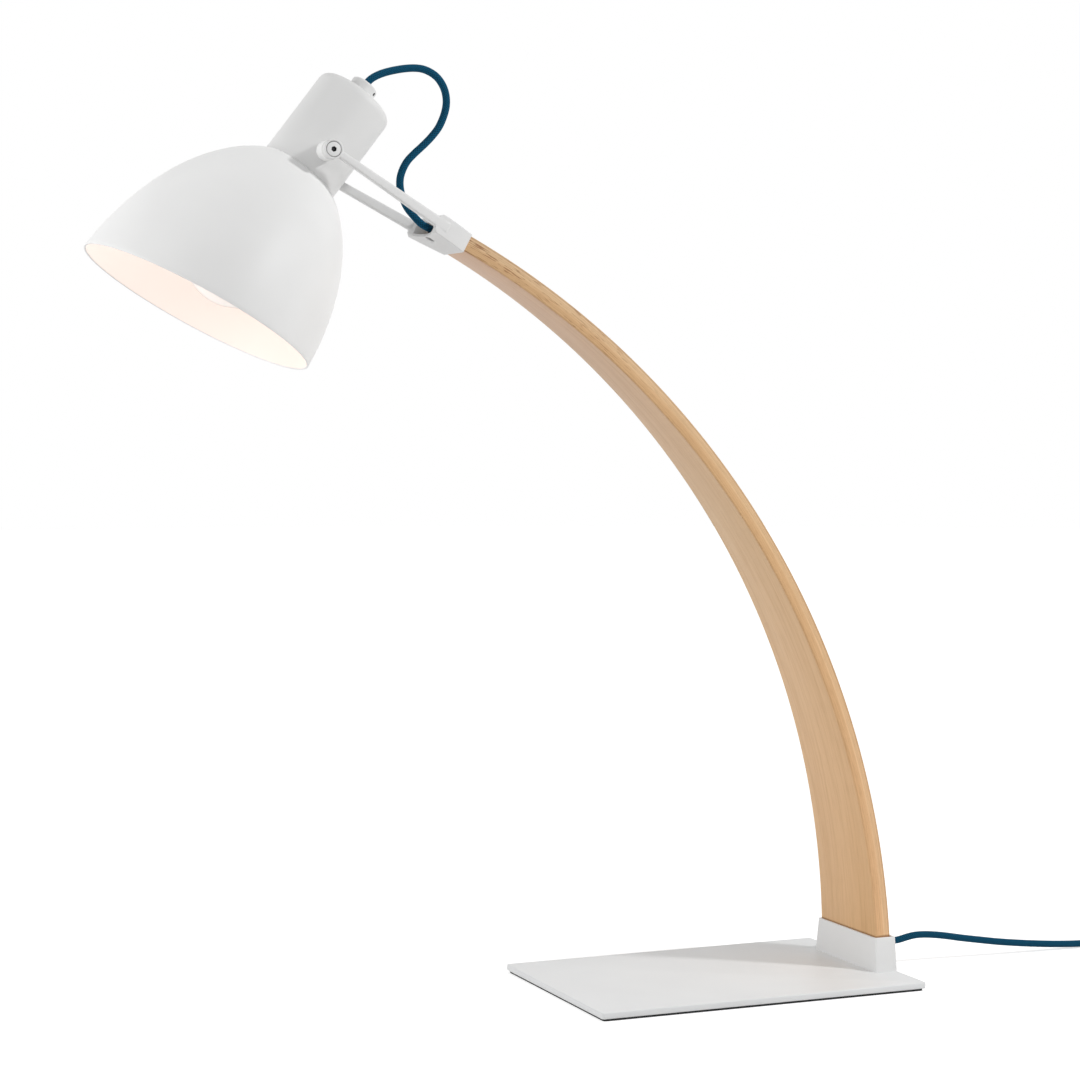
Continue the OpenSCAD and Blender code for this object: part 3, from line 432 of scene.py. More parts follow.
def braided_cord(name):
    """Textile braid: two sets of yarns that cross, in dark teal blue."""
    material, tree, shader = new_material(name)
    place = attribute(tree, "braid_place")
    around, along, _ = split_xyz(tree, place)
    turns = math_node(tree, "MULTIPLY", around, YARNS_EACH_WAY * 2 * math.pi)
    run = math_node(tree, "MULTIPLY", along, 2 * math.pi / BRAID_PITCH)
    one = math_node(tree, "SINE", math_node(tree, "ADD", turns, run))
    other = math_node(tree, "SINE", math_node(tree, "SUBTRACT", turns, run))
    weave = math_node(tree, "MAXIMUM", one, other)
    crossing = math_node(tree, "MULTIPLY", one, other)
    fibre = noise(tree, scaled(tree, place, (60, 3000, 1)), 1.0, 2)
    height = math_node(tree, "ADD", weave, math_node(tree, "MULTIPLY", fibre, 0.6))
    # Painted shade and highlight on the weave: darker in the dips between yarns, lighter on the crossings
    colored = ramp(tree, remap(tree, weave, -0.4, 1.0, 0, 1), [
        (0.0, (0.0008, 0.017, 0.036)), (0.55, (0.0024, 0.064, 0.130)), (1.0, (0.0045, 0.093, 0.182)),
    ])
    raised = remap(tree, crossing, -1, 1, 0, 1)
    painted_crossing_light = ramp(tree, raised, [(0.0, (0.85, 0.85, 0.85)), (1.0, (1.15, 1.15, 1.15))])
    colored = tinted(tree, 1.0, colored, painted_crossing_light)
    fibre_tone = ramp(tree, fibre, [(NOISE_LOW, (0.6, 0.6, 0.6)), (NOISE_HIGH, (1.3, 1.3, 1.3))])
    colored = tinted(tree, 0.35, colored, fibre_tone)
    set_inputs(tree, shader, Base_Color=colored, Roughness=0.82, Specular_IOR_Level=0.12)
    set_inputs(tree, shader, Sheen_Weight=0.12, Sheen_Roughness=0.5, Sheen_Tint=(0.10, 0.55, 0.80, 1))
    bump(tree, shader, height, 0.6, 0.15 * MM)
    return material


def moulded(name, color, rough, grain_scale=1500):
    """Moulded plastic or rubber with a fine spark-eroded grain."""
    material, tree, shader = new_material(name)
    place = position(tree)
    grain = noise(tree, place, grain_scale, 2)
    uneven_color(tree, shader, noise(tree, place, 60, 2), color, 0.88)
    uneven_gloss(tree, shader, grain, rough - 0.08, rough + 0.08)
    bump(tree, shader, grain, 0.2, 0.1 * MM)
    return material


def bare_metal(name, color, rough):
    """Turned metal with fine marks and a little tarnish."""
    material, tree, shader = new_material(name)
    place = position(tree)
    marks = noise(tree, scaled(tree, place, (400, 400, 4000)), 1.0, 2)
    uneven_color(tree, shader, noise(tree, place, 150, 3), color, 0.8)
    uneven_gloss(tree, shader, marks, rough - 0.06, rough + 0.08)
    set_inputs(tree, shader, Metallic=1.0)
    bump(tree, shader, marks, 0.08, 0.05 * MM)
    return material


def lit_glass(name):
    """Frosted bulb glass that glows, less at its outline."""
    material, tree, shader = new_material(name)
    frost = noise(tree, position(tree), 900, 2)
    glow = ramp(tree, frost, [(NOISE_LOW, (0.64, 0.585, 0.545)), (NOISE_HIGH, (0.66, 0.605, 0.57))])
    facing = add_node(tree, "ShaderNodeLayerWeight", Blend=0.5).outputs["Facing"]
    level = remap(tree, facing, 0.7, 0.95, 0.68, 0.15)
    set_inputs(tree, shader, Base_Color=glow, Emission_Color=glow, Emission_Strength=level, Roughness=0.4)
    bump(tree, shader, frost, 0.05, 0.05 * MM)
    return material


WHITE = coated_metal("white_coat", (0.82, 0.82, 0.815))
# Tinted a touch cooler to cancel the warm light that the wood and the lit shade bounce onto the plate
PLATE_WHITE = coated_metal("plate_white_coat", (0.815, 0.825, 0.83))
# Brighter copy, on the shade and bosses: partly a spun finish, partly painted light
BRIGHTER_WHITE = coated_metal("brighter_white_coat", (0.885, 0.885, 0.88))
# Dimmer copy, on the neck, gland and bracket: partly a cast finish, partly painted shade
DIMMER_WHITE = coated_metal("dimmer_white_coat", (0.775, 0.775, 0.77))
PAINTED_LIT_INSIDE = lit_coat("lit_inside")
WOOD = bent_wood("bent_laminated_wood")
CORD_BLUE = braided_cord("blue_braid")
BLACK_PAD_AND_SHADE = moulded("pad_foam_and_shade", (0.016, 0.016, 0.017), 0.9, 2200)
SOFT_BLACK = moulded("relief_rubber", (0.030, 0.030, 0.031), 0.65)
HARD_BLACK = moulded("plug_plastic", (0.026, 0.026, 0.027), 0.42)
WHITE_PLASTIC = moulded("white_plastic", (0.78, 0.78, 0.765), 0.42)
GREY_PLASTIC = moulded("grey_plastic", (0.11, 0.11, 0.115), 0.45)
STEEL = bare_metal("zinc_steel", (0.62, 0.62, 0.63), 0.32)
BLACK_STEEL_AND_SHADE = bare_metal("black_steel_and_shade", (0.035, 0.035, 0.037), 0.45)
BRASS = bare_metal("brass", (0.78, 0.58, 0.26), 0.30)
BULB = lit_glass("frosted_glass")


# Mesh helpers

def finish_mesh(name, mesh_build, materials, sharp=40):
    """Turns a bmesh into an object with smooth faces and sharp edges over an angle."""
    bmesh.ops.recalc_face_normals(mesh_build, faces=mesh_build.faces)
    mesh = bpy.data.meshes.new(name)
    mesh_build.to_mesh(mesh)
    mesh_build.free()
    for polygon in mesh.polygons:
        polygon.use_smooth = True
    mesh.set_sharp_from_angle(angle=math.radians(sharp))
    for material in materials:
        mesh.materials.append(material)
    piece = bpy.data.objects.new(name, mesh)
    bpy.context.scene.collection.objects.link(piece)
    return piece


def turn_angles(count):
    return [2 * math.pi * i / count for i in range(count)]


def quarter_round(ease, steps):
    """Pairs of inset and rise along a rounded edge, from its flat face to its wall."""
    angles = [math.pi / 2 * i / steps for i in range(steps + 1)]
    return [(ease * (1 - math.sin(a)), ease * (1 - math.cos(a))) for a in angles]


def bend_points(start, corner, end, steps):
    """Points on a curve that leaves start for the corner and comes from the corner into end."""
    out = []
    for i in range(steps + 1):
        f = i / steps
        out.append(start * (1 - f) ** 2 + corner * 2 * f * (1 - f) + end * f ** 2)
    return out


def stitch(mesh_build, rings, closed=False):
    """Joins equal rings of points into a skin; closed joins the last to the first, else both are capped."""
    made = [[mesh_build.verts.new(p) for p in ring] for ring in rings]
    pairs = list(zip(made, made[1:]))
    if closed:
        pairs.append((made[-1], made[0]))
    for low, high in pairs:
        for i in range(len(low)):
            j = (i + 1) % len(low)
            mesh_build.faces.new((low[i], low[j], high[j], high[i]))
    if not closed:
        mesh_build.faces.new(made[0])
        mesh_build.faces.new(made[-1])


def skin(name, rings, material, sharp=40, closed=False):
    """A piece whose surface runs through equal rings of points."""
    mesh_build = bmesh.new()
    stitch(mesh_build, rings, closed)
    return finish_mesh(name, mesh_build, [material], sharp)


def join_round(mesh_build, rows, looped=True, lining=()):
    """Joins rows of points round an axis; looped closes each row, lining takes the second material."""
    made = [[mesh_build.verts.new(p) for p in row] for row in rows]
    count = len(rows[0])
    for i, this in enumerate(made):
        following = made[(i + 1) % len(made)]
        for k in range(count if looped else count - 1):
            m = (k + 1) % count
            face = mesh_build.faces.new((this[k], following[k], following[m], this[m]))
            face.material_index = int(k in lining)


SIDE_SHARE = 0.49


def rounded_line(points, radius, steps=4):
    """A line in a plane with each inner corner rounded; a corner may carry its own radius."""
    out = [Vector(points[0][:2])]
    for before, corner, after in zip(points, points[1:], points[2:]):
        r = corner[2] if len(corner) > 2 else radius
        b, c, a = Vector(before[:2]), Vector(corner[:2]), Vector(after[:2])
        to_b, to_a = (b - c).normalized(), (a - c).normalized()
        half = math.acos(max(-1, min(1, to_b.dot(to_a)))) / 2
        reach = min(r / math.tan(half), (b - c).length * SIDE_SHARE, (a - c).length * SIDE_SHARE)
        out += bend_points(c + to_b * reach, c, c + to_a * reach, steps)
    out.append(Vector(points[-1][:2]))
    return out


def turned(name, outline, material, matrix, steps=96, radius=0.4 * MM, looped=True, sharp=40):
    """A turned piece about local Z. The outline holds (radius, height) corners; looped closes it."""
    corners = list(outline)
    if looped:
        corners = corners + [corners[0], corners[1]]
    line = rounded_line(corners, radius)
    if looped:
        line = line[1:-1]
    rows = []
    for a in turn_angles(steps):
        rows.append([matrix @ Vector((p.x * math.cos(a), p.x * math.sin(a), p.y)) for p in line])
    mesh_build = bmesh.new()
    join_round(mesh_build, rows, looped)
    bmesh.ops.remove_doubles(mesh_build, verts=mesh_build.verts, dist=1e-7)
    bmesh.ops.dissolve_degenerate(mesh_build, edges=mesh_build.edges, dist=1e-8)
    return finish_mesh(name, mesh_build, [material], sharp)


def rounded_outline(length, width, radius, steps=6):
    """Corner points of a rounded rectangle about the origin, counter-clockwise."""
    points = []
    for k, (sx, sy) in enumerate(((1, 1), (-1, 1), (-1, -1), (1, -1))):
        centre = Vector((sx * (length / 2 - radius), sy * (width / 2 - radius)))
        for i in range(steps + 1):
            a = math.pi / 2 * (k + i / steps)
            points.append(centre + radius * Vector((math.cos(a), math.sin(a))))
    return points


def slab_rings(length, width, corner, low, high, bevel, steps=3):
    """Rings of a rounded slab whose upper and lower edges are eased by bevel."""
    least_corner = 0.2 * MM
    edge = quarter_round(bevel, steps)
    levels = [(inset, low + rise) for inset, rise in edge] + [(rise, high - inset) for inset, rise in edge]
    rings = []
    for d, z in levels:
        outline = rounded_outline(length - 2 * d, width - 2 * d, max(corner - d, least_corner))
        rings.append([Vector((p.x, p.y, z)) for p in outline])
    return rings


def slab(name, length, width, corner, low, high, bevel, material, matrix=Matrix.Identity(4)):
    rings = slab_rings(length, width, corner, low, high, bevel)
    return skin(name, [[matrix @ p for p in ring] for ring in rings], material)


def smooth_path(points, step, parts=12):
    """Even points along a smooth curve through the given ones; parts is how finely it is first divided."""
    p = [2 * points[0] - points[1]] + list(points) + [2 * points[-1] - points[-2]]
    fine = []
    for a, b, c, d in zip(p, p[1:], p[2:], p[3:]):
        for i in range(parts):
            t = i / parts
            fine.append(0.5 * (2 * b + (c - a) * t + (2 * a - 5 * b + 4 * c - d) * t ** 2
                               + (3 * b - a - 3 * c + d) * t ** 3))
    fine.append(points[-1])
    lengths = [0.0]
    for a, b in zip(fine, fine[1:]):
        lengths.append(lengths[-1] + (b - a).length)
    count = max(2, round(lengths[-1] / step))
    even, k = [], 0
    for i in range(count + 1):
        at = lengths[-1] * i / count
        while k < len(fine) - 2 and lengths[k + 1] < at:
            k += 1
        f = (at - lengths[k]) / max(lengths[k + 1] - lengths[k], 1e-9)
        even.append(fine[k].lerp(fine[k + 1], min(max(f, 0), 1)))
    return even


def tube(name, path, radius, sides, material):
    """A round cord along a path, with the place around and along it kept for the braid."""
    rings, places = [], []
    angles = turn_angles(sides)
    side = None
    run = 0.0
    for i, point in enumerate(path):
        ahead = (path[min(i + 1, len(path) - 1)] - path[max(i - 1, 0)]).normalized()
        if side is None:
            side = ahead.cross(X if abs(ahead.x) < 0.9 else Y).normalized()
        side = (side - ahead * side.dot(ahead)).normalized()
        other = ahead.cross(side)
        if i:
            run += (point - path[i - 1]).length
        rings.append([point + radius * (math.cos(a) * side + math.sin(a) * other) for a in angles])
        places.extend((k / sides, run, 0) for k in range(sides))
    piece = skin(name, rings, material, 60)
    keep_places(piece, "braid_place", places)
    return piece


def keep_places(piece, name, places):
    """Stores a vector for each point, for the material to read."""
    layer = piece.data.attributes.new(name, "FLOAT_VECTOR", "POINT")
    for item, place in zip(layer.data, places):
        item.vector = place


def dress(piece, body, slot, *nodes):
    """Puts a piece on its body, in the place of the named nodes; the slot is not used."""
    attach(piece, body)
    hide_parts(*nodes)
    return piece


def paint(node, material):
    """Gives a node of the model a better material."""
    slots = frame["nodes"][node].data.materials
    slots.clear()
    slots.append(material)


# Cords

def metres(route):
    return [Vector(p) * MM for p in route]


def coil_route():
    """The coil's turns: in and out again, layer on layer, clockwise seen from above."""
    per_layer = COIL_TURNS / COIL_LAYERS
    span = COIL_OUTER_R - COIL_INNER_R
    points = []
    for i in range(int(COIL_TURNS * COIL_RINGS) + 1):
        t = i / COIL_RINGS
        k = min(int(t / per_layer), COIL_LAYERS - 1)
        f = t / per_layer - k
        r = COIL_OUTER_R - span * f if k % 2 == 0 else COIL_INNER_R + span * f
        climb = 0.0
        for m in range(1, COIL_LAYERS):
            c = max(0.0, min(1.0, (t - m * per_layer) * 2 + 0.5))
            climb += c * c * (3 - 2 * c)
        a = 2 * math.pi * t
        z = COIL_Z + COIL_LAYER_H * climb
        points.append((COIL_C[0] + r * math.cos(a), COIL_C[1] - r * math.sin(a), z))
    return points


def make_cords():
    ring_step = 1.6 * MM
    loop_path = smooth_path(metres(HEAD_ROUTE), ring_step)
    loop = tube("head_loop", loop_path, CORD_R, 20, CORD_BLUE)
    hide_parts("head_cord")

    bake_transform(loop)

    lead_path = smooth_path(metres(MAINS_ROUTE + SWITCH_ROUTE + coil_route() + PLUG_ROUTE), ring_step)
    lead = tube("mains_lead", lead_path, CORD_R, 16, CORD_BLUE)
    dress(lead, "stand", "blue_cord", "mains_cord", "switch_cord", "cord_coil", "plug_cord")
    on_lead = [frame["nodes"][n] for n in ("switch_contacts", "switch_screws")]
    dressed = ("lower_shell", "upper_shell", "rocker_key", "plug_shell", "pins", "straps")
    on_lead += [bpy.data.objects[n] for n in dressed]


# Stand

def make_base():
    plate = slab("plate", BASE_L, BASE_W, BASE_CORNER_R, PLATE_LOW, PLATE_TOP, 0.7 * MM, PLATE_WHITE)
    dress(plate, "stand", "white_steel", "base_plate")
    # A black pad under the whole plate: partly a real pad, partly a dark sheet for the shade under the
    # plate
    pad = slab("soft_pad", BASE_L - 2 * PAD_INSET, BASE_W - 2 * PAD_INSET, BASE_CORNER_R, 0, PLATE_LOW,
               0.3 * MM, BLACK_PAD_AND_SHADE)
    dress(pad, "stand", "pad", "base_pad")


def arm_half_width(angle):
    at_socket = math.asin((SOCKET_TOP - ARM_CENTRE.z) / ARM_R)
    f = (angle - at_socket) / (ARM_SWEEP - at_socket)
    return (ARM_FOOT_W + (ARM_TIP_W - ARM_FOOT_W) * f) / 2


def make_arm():
    first = math.asin((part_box("wooden_arm")[0].z - ARM_CENTRE.z) / ARM_R)
    last = ARM_SWEEP + ARM_IN_CUFF / ARM_R
    steps = 160
    ease = 0.8 * MM
    rings, places = [], []
    for i in range(steps + 1):
        angle = first + (last - first) * i / steps
        outward = Vector((math.cos(angle), 0, math.sin(angle)))
        outline = rounded_outline(ARM_T, 2 * arm_half_width(angle), ease, 4)
        rings.append([ARM_CENTRE + (ARM_R + p.x) * outward + p.y * Y for p in outline])
        places.extend((ARM_R * angle, p.y, p.x) for p in outline)
    arm = skin("bent_arm", rings, WOOD)
    keep_places(arm, "wood_place", places)
    dress(arm, "stand", "wood", "wooden_arm")


def make_socket():
    """The block that holds the arm's foot: drafted walls, eased edges and a thin wall round the wood."""
    low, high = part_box("arm_socket")
    back = high.x
    front_draft, side_draft = 0.7 * MM, 2.6 * MM
    edge_r, ease, wall, depth = 1.25 * MM, 0.5 * MM, 1.4 * MM, 3 * MM
    least_r, lip, lip_depth = 0.4 * MM, 0.15 * MM, 0.2 * MM
    foot_l, foot_w = back - low.x, high.y - low.y

    def ring(f, inset):
        length = foot_l - front_draft * f - 2 * inset
        width = foot_w - 2 * side_draft * f - 2 * inset
        z = low.z + (high.z - low.z) * f
        return [
            Vector((back - inset - length / 2 + p.x, p.y, z))
            for p in rounded_outline(length, width, max(edge_r - inset, least_r))
        ]

    rise = high.z - low.z
    rings = [ring(0, 0)]
    rings += [ring(1 - down / rise, inset) for down, inset in quarter_round(ease, 4)]
    inner = [ring(1, wall - lip), ring(1 - lip_depth / rise, wall), ring(1 - depth / rise, wall)]
    block = skin("socket_block", rings + inner, WHITE)
    dress(block, "stand", "white_alloy", "arm_socket")


def make_relief():
    """Tapered sleeve with grooves round the lead."""
    matrix = Matrix.Translation((BASE_L / 2, 0, EXIT_Z)) @ Matrix.Rotation(math.pi / 2, 4, "Y")
    flange_r, flange_t, tip_r, bore = 5.55 * MM, 1.6 * MM, 3.2 * MM, 2.3 * MM
    sunk_r, sunk, start_r = 3.9 * MM, 2 * MM, 4.5 * MM
    grooves, groove_edge, groove_w, groove_d = 5, 0.4 * MM, 1.6 * MM, 0.6 * MM
    length = RELIEF_TIP - BASE_L / 2
    outline = [(bore, -sunk), (sunk_r, -sunk), (sunk_r, 0), (flange_r, 0), (flange_r, flange_t)]
    outline.append((start_r, flange_t))
    for k in range(grooves):
        z = flange_t + (length - flange_t) * (k + 0.45) / (grooves + 0.4)
        r = start_r + (tip_r - start_r) * z / length
        outline += [(r, z), (r - groove_d, z + groove_edge), (r - groove_d, z + groove_w - groove_edge),
                    (r, z + groove_w)]
    outline += [(tip_r, length), (bore, length)]
    relief = turned("relief_sleeve", outline, SOFT_BLACK, matrix, 64, 0.25 * MM)
    dress(relief, "stand", "soft_black", "strain_relief")


def soft_copy(name, node, voxel, passes, material):
    """A cast look for a node: its solid remeshed finely and smoothed, so that its edges are eased."""
    piece = frame["nodes"][node].copy()
    piece.data = piece.data.copy()
    piece.name = name
    piece.parent = None
    for key in list(piece.keys()):
        del piece[key]
    bpy.context.scene.collection.objects.link(piece)
    remesh = piece.modifiers.new("remesh", "REMESH")
    remesh.mode = "VOXEL"
    remesh.voxel_size = voxel
    relax = piece.modifiers.new("relax", "SMOOTH")
    relax.factor = 0.5
    relax.iterations = passes
    evaluated = piece.evaluated_get(bpy.context.evaluated_depsgraph_get())
    mesh = bpy.data.meshes.new_from_object(evaluated)
    piece.modifiers.clear()
    piece.data = mesh
    for polygon in mesh.polygons:
        polygon.use_smooth = True
    mesh.materials.clear()
    mesh.materials.append(material)
    return piece


def make_fork():
    fork = soft_copy("cast_fork", "fork_bracket", 0.35 * MM, 4, DIMMER_WHITE)
    dress(fork, "stand", "white_alloy", "fork_bracket")


# Head

def dome_point(a, b, t, azimuth):
    """A point on the dome with half axes a and b, t up from its middle."""
    r = a * math.cos(t)
    return Vector((r * math.cos(azimuth), r * math.sin(azimuth), DOME_C + b * math.sin(t)))


def rim_angle(a, b, azimuth):
    """Where the dome's curve meets the slanted rim plane."""
    normal = Vector((-math.sin(RIM_SLANT), 0, math.cos(RIM_SLANT)))
    at = Vector((0, 0, -RIM_DROP))
    low, high, halvings = -0.5, 1.0, 40
    for _ in range(halvings):
        middle = (low + high) / 2
        if (dome_point(a, b, middle, azimuth) - at).dot(normal) > 0:
            high = middle
        else:
            low = middle
    return high


def make_shade():
    """The spun dome: outside, rolled lip on the slanted rim, inside, and the flat collar under the neck."""
    around, down, lip = 180, 48, 5
    inner_a, inner_b = SHADE_A - SHADE_WALL, SHADE_B - SHADE_WALL
    under = COLLAR_Z - SHADE_WALL
    hole = HOLDER_R + 0.3 * MM
    start_out = math.asin((COLLAR_Z - DOME_C) / SHADE_B)
    start_in = math.asin((under - DOME_C) / inner_b)
    rows = []
    for azimuth in turn_angles(around):
        end_out, end_in = rim_angle(SHADE_A, SHADE_B, azimuth), rim_angle(inner_a, inner_b, azimuth)
        outside = [dome_point(SHADE_A, SHADE_B, start_out + (end_out - start_out) * k / down, azimuth)
                   for k in range(down + 1)]
        inside = [dome_point(inner_a, inner_b, end_in + (start_in - end_in) * k / down, azimuth)
                  for k in range(down + 1)]
        middle = (outside[-1] + inside[0]) / 2
        out = (outside[-1] - inside[0]) / 2
        along = (outside[-1] - outside[-2]).normalized() * out.length
        half_turn = [math.pi * k / lip for k in range(1, lip)]
        roll = [middle + math.cos(a) * out + math.sin(a) * along - along for a in half_turn]
        outside[-1] = outside[-1] - along
        inside[0] = inside[0] - along
        edge = Vector((math.cos(azimuth), math.sin(azimuth), 0))
        row = [edge * hole + Z * COLLAR_Z] + outside + roll + inside + [edge * hole + Z * under]
        rows.append([HEAD @ p for p in row])
    first_inside = down + 1 + lip
    mesh_build = bmesh.new()
    join_round(mesh_build, rows, lining=range(first_inside, len(rows[0]) - 1))
    shade = finish_mesh("dome_shade", mesh_build, [BRIGHTER_WHITE, PAINTED_LIT_INSIDE], 35)
    dress(shade, "head", "white_alloy", "shade")


def sleeve(inner, outer, low, high):
    """The section of a plain ring."""
    return [(inner, low), (outer, low), (outer, high), (inner, high)]


def across_head(side):
    """A frame at the pivot whose Z points sideways out of the head."""
    return HEAD @ Matrix.Rotation(-side * math.pi / 2, 4, "X")


def make_neck():
    hole, round_r = 5.1 * MM, 5.5 * MM
    inner = NECK_R - NECK_WALL
    outline = [
        (NECK_R, COLLAR_Z, 0.3 * MM), (NECK_R, NECK_TOP, round_r), (hole, NECK_TOP, 0.2 * MM),
        (hole, NECK_TOP - NECK_WALL, 0.2 * MM), (inner, NECK_TOP - NECK_WALL, round_r - NECK_WALL),
        (inner, COLLAR_Z, 0.3 * MM),
    ]
    corners = outline + [outline[0], outline[1]]
    line = rounded_line(corners, 0, 10)[1:-1]
    neck = turned("neck", [(p.x, p.y) for p in line], DIMMER_WHITE, HEAD, 128, 0, True, 30)
    dress(neck, "head", "white_alloy", "neck_cup")

    sides = [across_head(side) for side in (-1, 1)]
    boss_foot = NECK_R - 3 * MM
    outline = sleeve(2.05 * MM, BOSS_R, boss_foot, BOSS_END)
    # The bosses take the brighter copy of the coat as painted light
    bosses = [turned("boss", outline, BRIGHTER_WHITE, side, 64, 0.35 * MM) for side in sides]
    dress(joined(bosses, "bosses"), "head", "white_alloy", "pivot_bosses")
    outline = sleeve(3.05 * MM, BOSS_R, BOSS_END, WASHER_END)
    washers = [turned("washer", outline, WHITE_PLASTIC, side, 64, 0.08 * MM) for side in sides]
    dress(joined(washers, "washers"), "head", "white_plastic", "friction_washers")
    screws = [shoulder_screw(side) for side in sides]
    dress(joined(screws, "shoulder_screws"), "head", "white_steel", "pivot_screws")

    gland = soft_copy("gland", "cord_gland", 0.2 * MM, 4, DIMMER_WHITE)
    dress(gland, "head", "white_plastic", "cord_gland")


def shoulder_screw(matrix):
    """A coated screw whose flat head lies sunk in the eye; its hexagon socket is bare black steel, partly
    painted shade.
    """
    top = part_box("pivot_screws")[1].y
    under = top - 1.8 * MM
    shank_r, head_r, ease, bevel = 3 * MM, 4.2 * MM, 0.25 * MM, 0.1 * MM
    corner = 0.3 * ease
    socket_r, socket_end = 1.67 * MM, top - 1.4 * MM
    count = 48

    def circle(r, z):
        return [matrix @ Vector((r * math.cos(a), r * math.sin(a), z)) for a in turn_angles(count)]

    def hexagon(r, z):
        points = []
        for a in turn_angles(count):
            flat = r * math.cos(math.pi / 6) / math.cos((a % (math.pi / 3)) - math.pi / 6)
            points.append(matrix @ Vector((flat * math.cos(a), flat * math.sin(a), z)))
        return points

    mesh_build = bmesh.new()
    rings = [
        circle(shank_r, BOSS_END), circle(shank_r, under), circle(head_r, under),
        circle(head_r, top - ease), circle(head_r - corner, top - corner), circle(head_r - ease, top),
        hexagon(socket_r + bevel, top), hexagon(socket_r, top - bevel), hexagon(socket_r, socket_end),
    ]
    stitch(mesh_build, rings)
    mesh_build.faces.ensure_lookup_table()
    # The socket's walls and floor take black steel: partly bare metal, partly painted shade in the recess
    walls = len(rings) - 2
    for face in mesh_build.faces[walls * count:(walls + 1) * count]:
        face.material_index = 1
    mesh_build.faces[-1].material_index = 1
    return finish_mesh("screw", mesh_build, [WHITE, BLACK_STEEL_AND_SHADE], 30)


def joined(pieces, name):
    """Several meshes with the same materials as one object."""
    mesh_build = bmesh.new()
    for piece in pieces:
        mesh_build.from_mesh(piece.data)
    materials = list(pieces[0].data.materials)
    for piece in pieces:
        bpy.data.objects.remove(piece)
    return finish_mesh(name, mesh_build, materials)


BULB_CONTACT = COLLAR_Z + 11.3 * MM
CAP_R = 13.1 * MM
CAP_LOW = BULB_CONTACT - 26 * MM


def make_bulb():
    """A globe bulb: round end, neck and the edge that meets the cap."""
    r, length, wall = 29.5 * MM, 103 * MM, 0.8 * MM
    turn = math.radians(50)
    round_steps, neck_steps = 32, 12

    def glass_line(radius, tip, neck):
        centre = tip + radius
        leave = Vector((radius * math.cos(turn), centre + radius * math.sin(turn)))
        knee = Vector((neck, leave.y + (leave.x - neck) / math.tan(turn)))
        end = Vector((neck, CAP_LOW))
        line = []
        for i in range(round_steps + 1):
            a = -math.pi / 2 + (turn + math.pi / 2) * i / round_steps
            line.append(Vector((max(radius * math.cos(a), 0), centre + radius * math.sin(a))))
        return line + bend_points(leave, knee, end, neck_steps)[1:]

    tip = BULB_CONTACT - length
    outer = glass_line(r, tip, CAP_R)
    inner = glass_line(r - wall, tip + wall, CAP_R - wall)
    line = [(p.x, p.y) for p in outer] + [(p.x, p.y) for p in reversed(inner)]
    bulb = turned("bulb", line, BULB, HEAD, 96, 0, False)
    dress(bulb, "head", "bulb_glass", "bulb_glass")


def make_lampholder():
    """What shows inside the shade above the bulb: ring, lampholder and the cap's thread."""
    under = COLLAR_Z - SHADE_WALL
    ring_in, ring_out, ring_h = 19.9 * MM, 22.6 * MM, 8 * MM
    outline = sleeve(ring_in, ring_out, under - ring_h, under)
    ring = turned("clamp_ring", outline, WHITE_PLASTIC, HEAD, 96, 0.5 * MM)
    dress(ring, "head", "white_plastic", "shade_ring")

    bottom, flange_r, flange_t, bore = COLLAR_Z - 18 * MM, 22.5 * MM, 2 * MM, 14.1 * MM
    top, taper, neck_r, seat = 21.8 * MM, 8 * MM, 8.5 * MM, 5.05 * MM
    outline = [
        (bore, bottom), (HOLDER_R, bottom), (HOLDER_R, COLLAR_Z), (flange_r, COLLAR_Z),
        (flange_r, COLLAR_Z + flange_t), (HOLDER_R, COLLAR_Z + flange_t), (HOLDER_R, top - taper),
        (neck_r, top), (seat, top), (seat, top - 9 * MM), (bore, top - 24 * MM),
    ]
    holder = turned("lampholder", outline, WHITE_PLASTIC, HEAD, 96, 0.4 * MM)
    dress(holder, "head", "white_plastic", "lampholder_body")

    shoulder, turns = BULB_CONTACT - 6 * MM, 6
    wall, thread_depth, thread_rise = 0.6 * MM, 0.5 * MM, 1.1 * MM
    outline = [(CAP_R - wall, CAP_LOW), (CAP_R, CAP_LOW)]
    for k in range(turns):
        z = CAP_LOW + 3 * MM + (shoulder - CAP_LOW - 4 * MM) * k / turns
        outline += [(CAP_R, z), (CAP_R - thread_depth, z + thread_rise)]
    outline += [(CAP_R, shoulder), (4.6 * MM, BULB_CONTACT - 1.5 * MM), (4.4 * MM, BULB_CONTACT - 2.1 * MM)]
    cap = turned("screw_cap", outline, STEEL, HEAD, 72, 0.5 * MM)
    dress(cap, "head", "screw_steel", "bulb_cap")


# Switch, plug and ties on the lead

SWITCH_AT = Matrix.Translation((320 * MM, -67 * MM, 0))
SWITCH_W, SWITCH_L, SWITCH_H, SWITCH_SPLIT = 22 * MM, 54 * MM, 14 * MM, 6.5 * MM
ROCKER_AXIS_Z, ROCKER_L, ROCKER_W = 10.6 * MM, 14 * MM, 8.4 * MM
PLUG_AT = Vector((242, -159, 6.8)) * MM


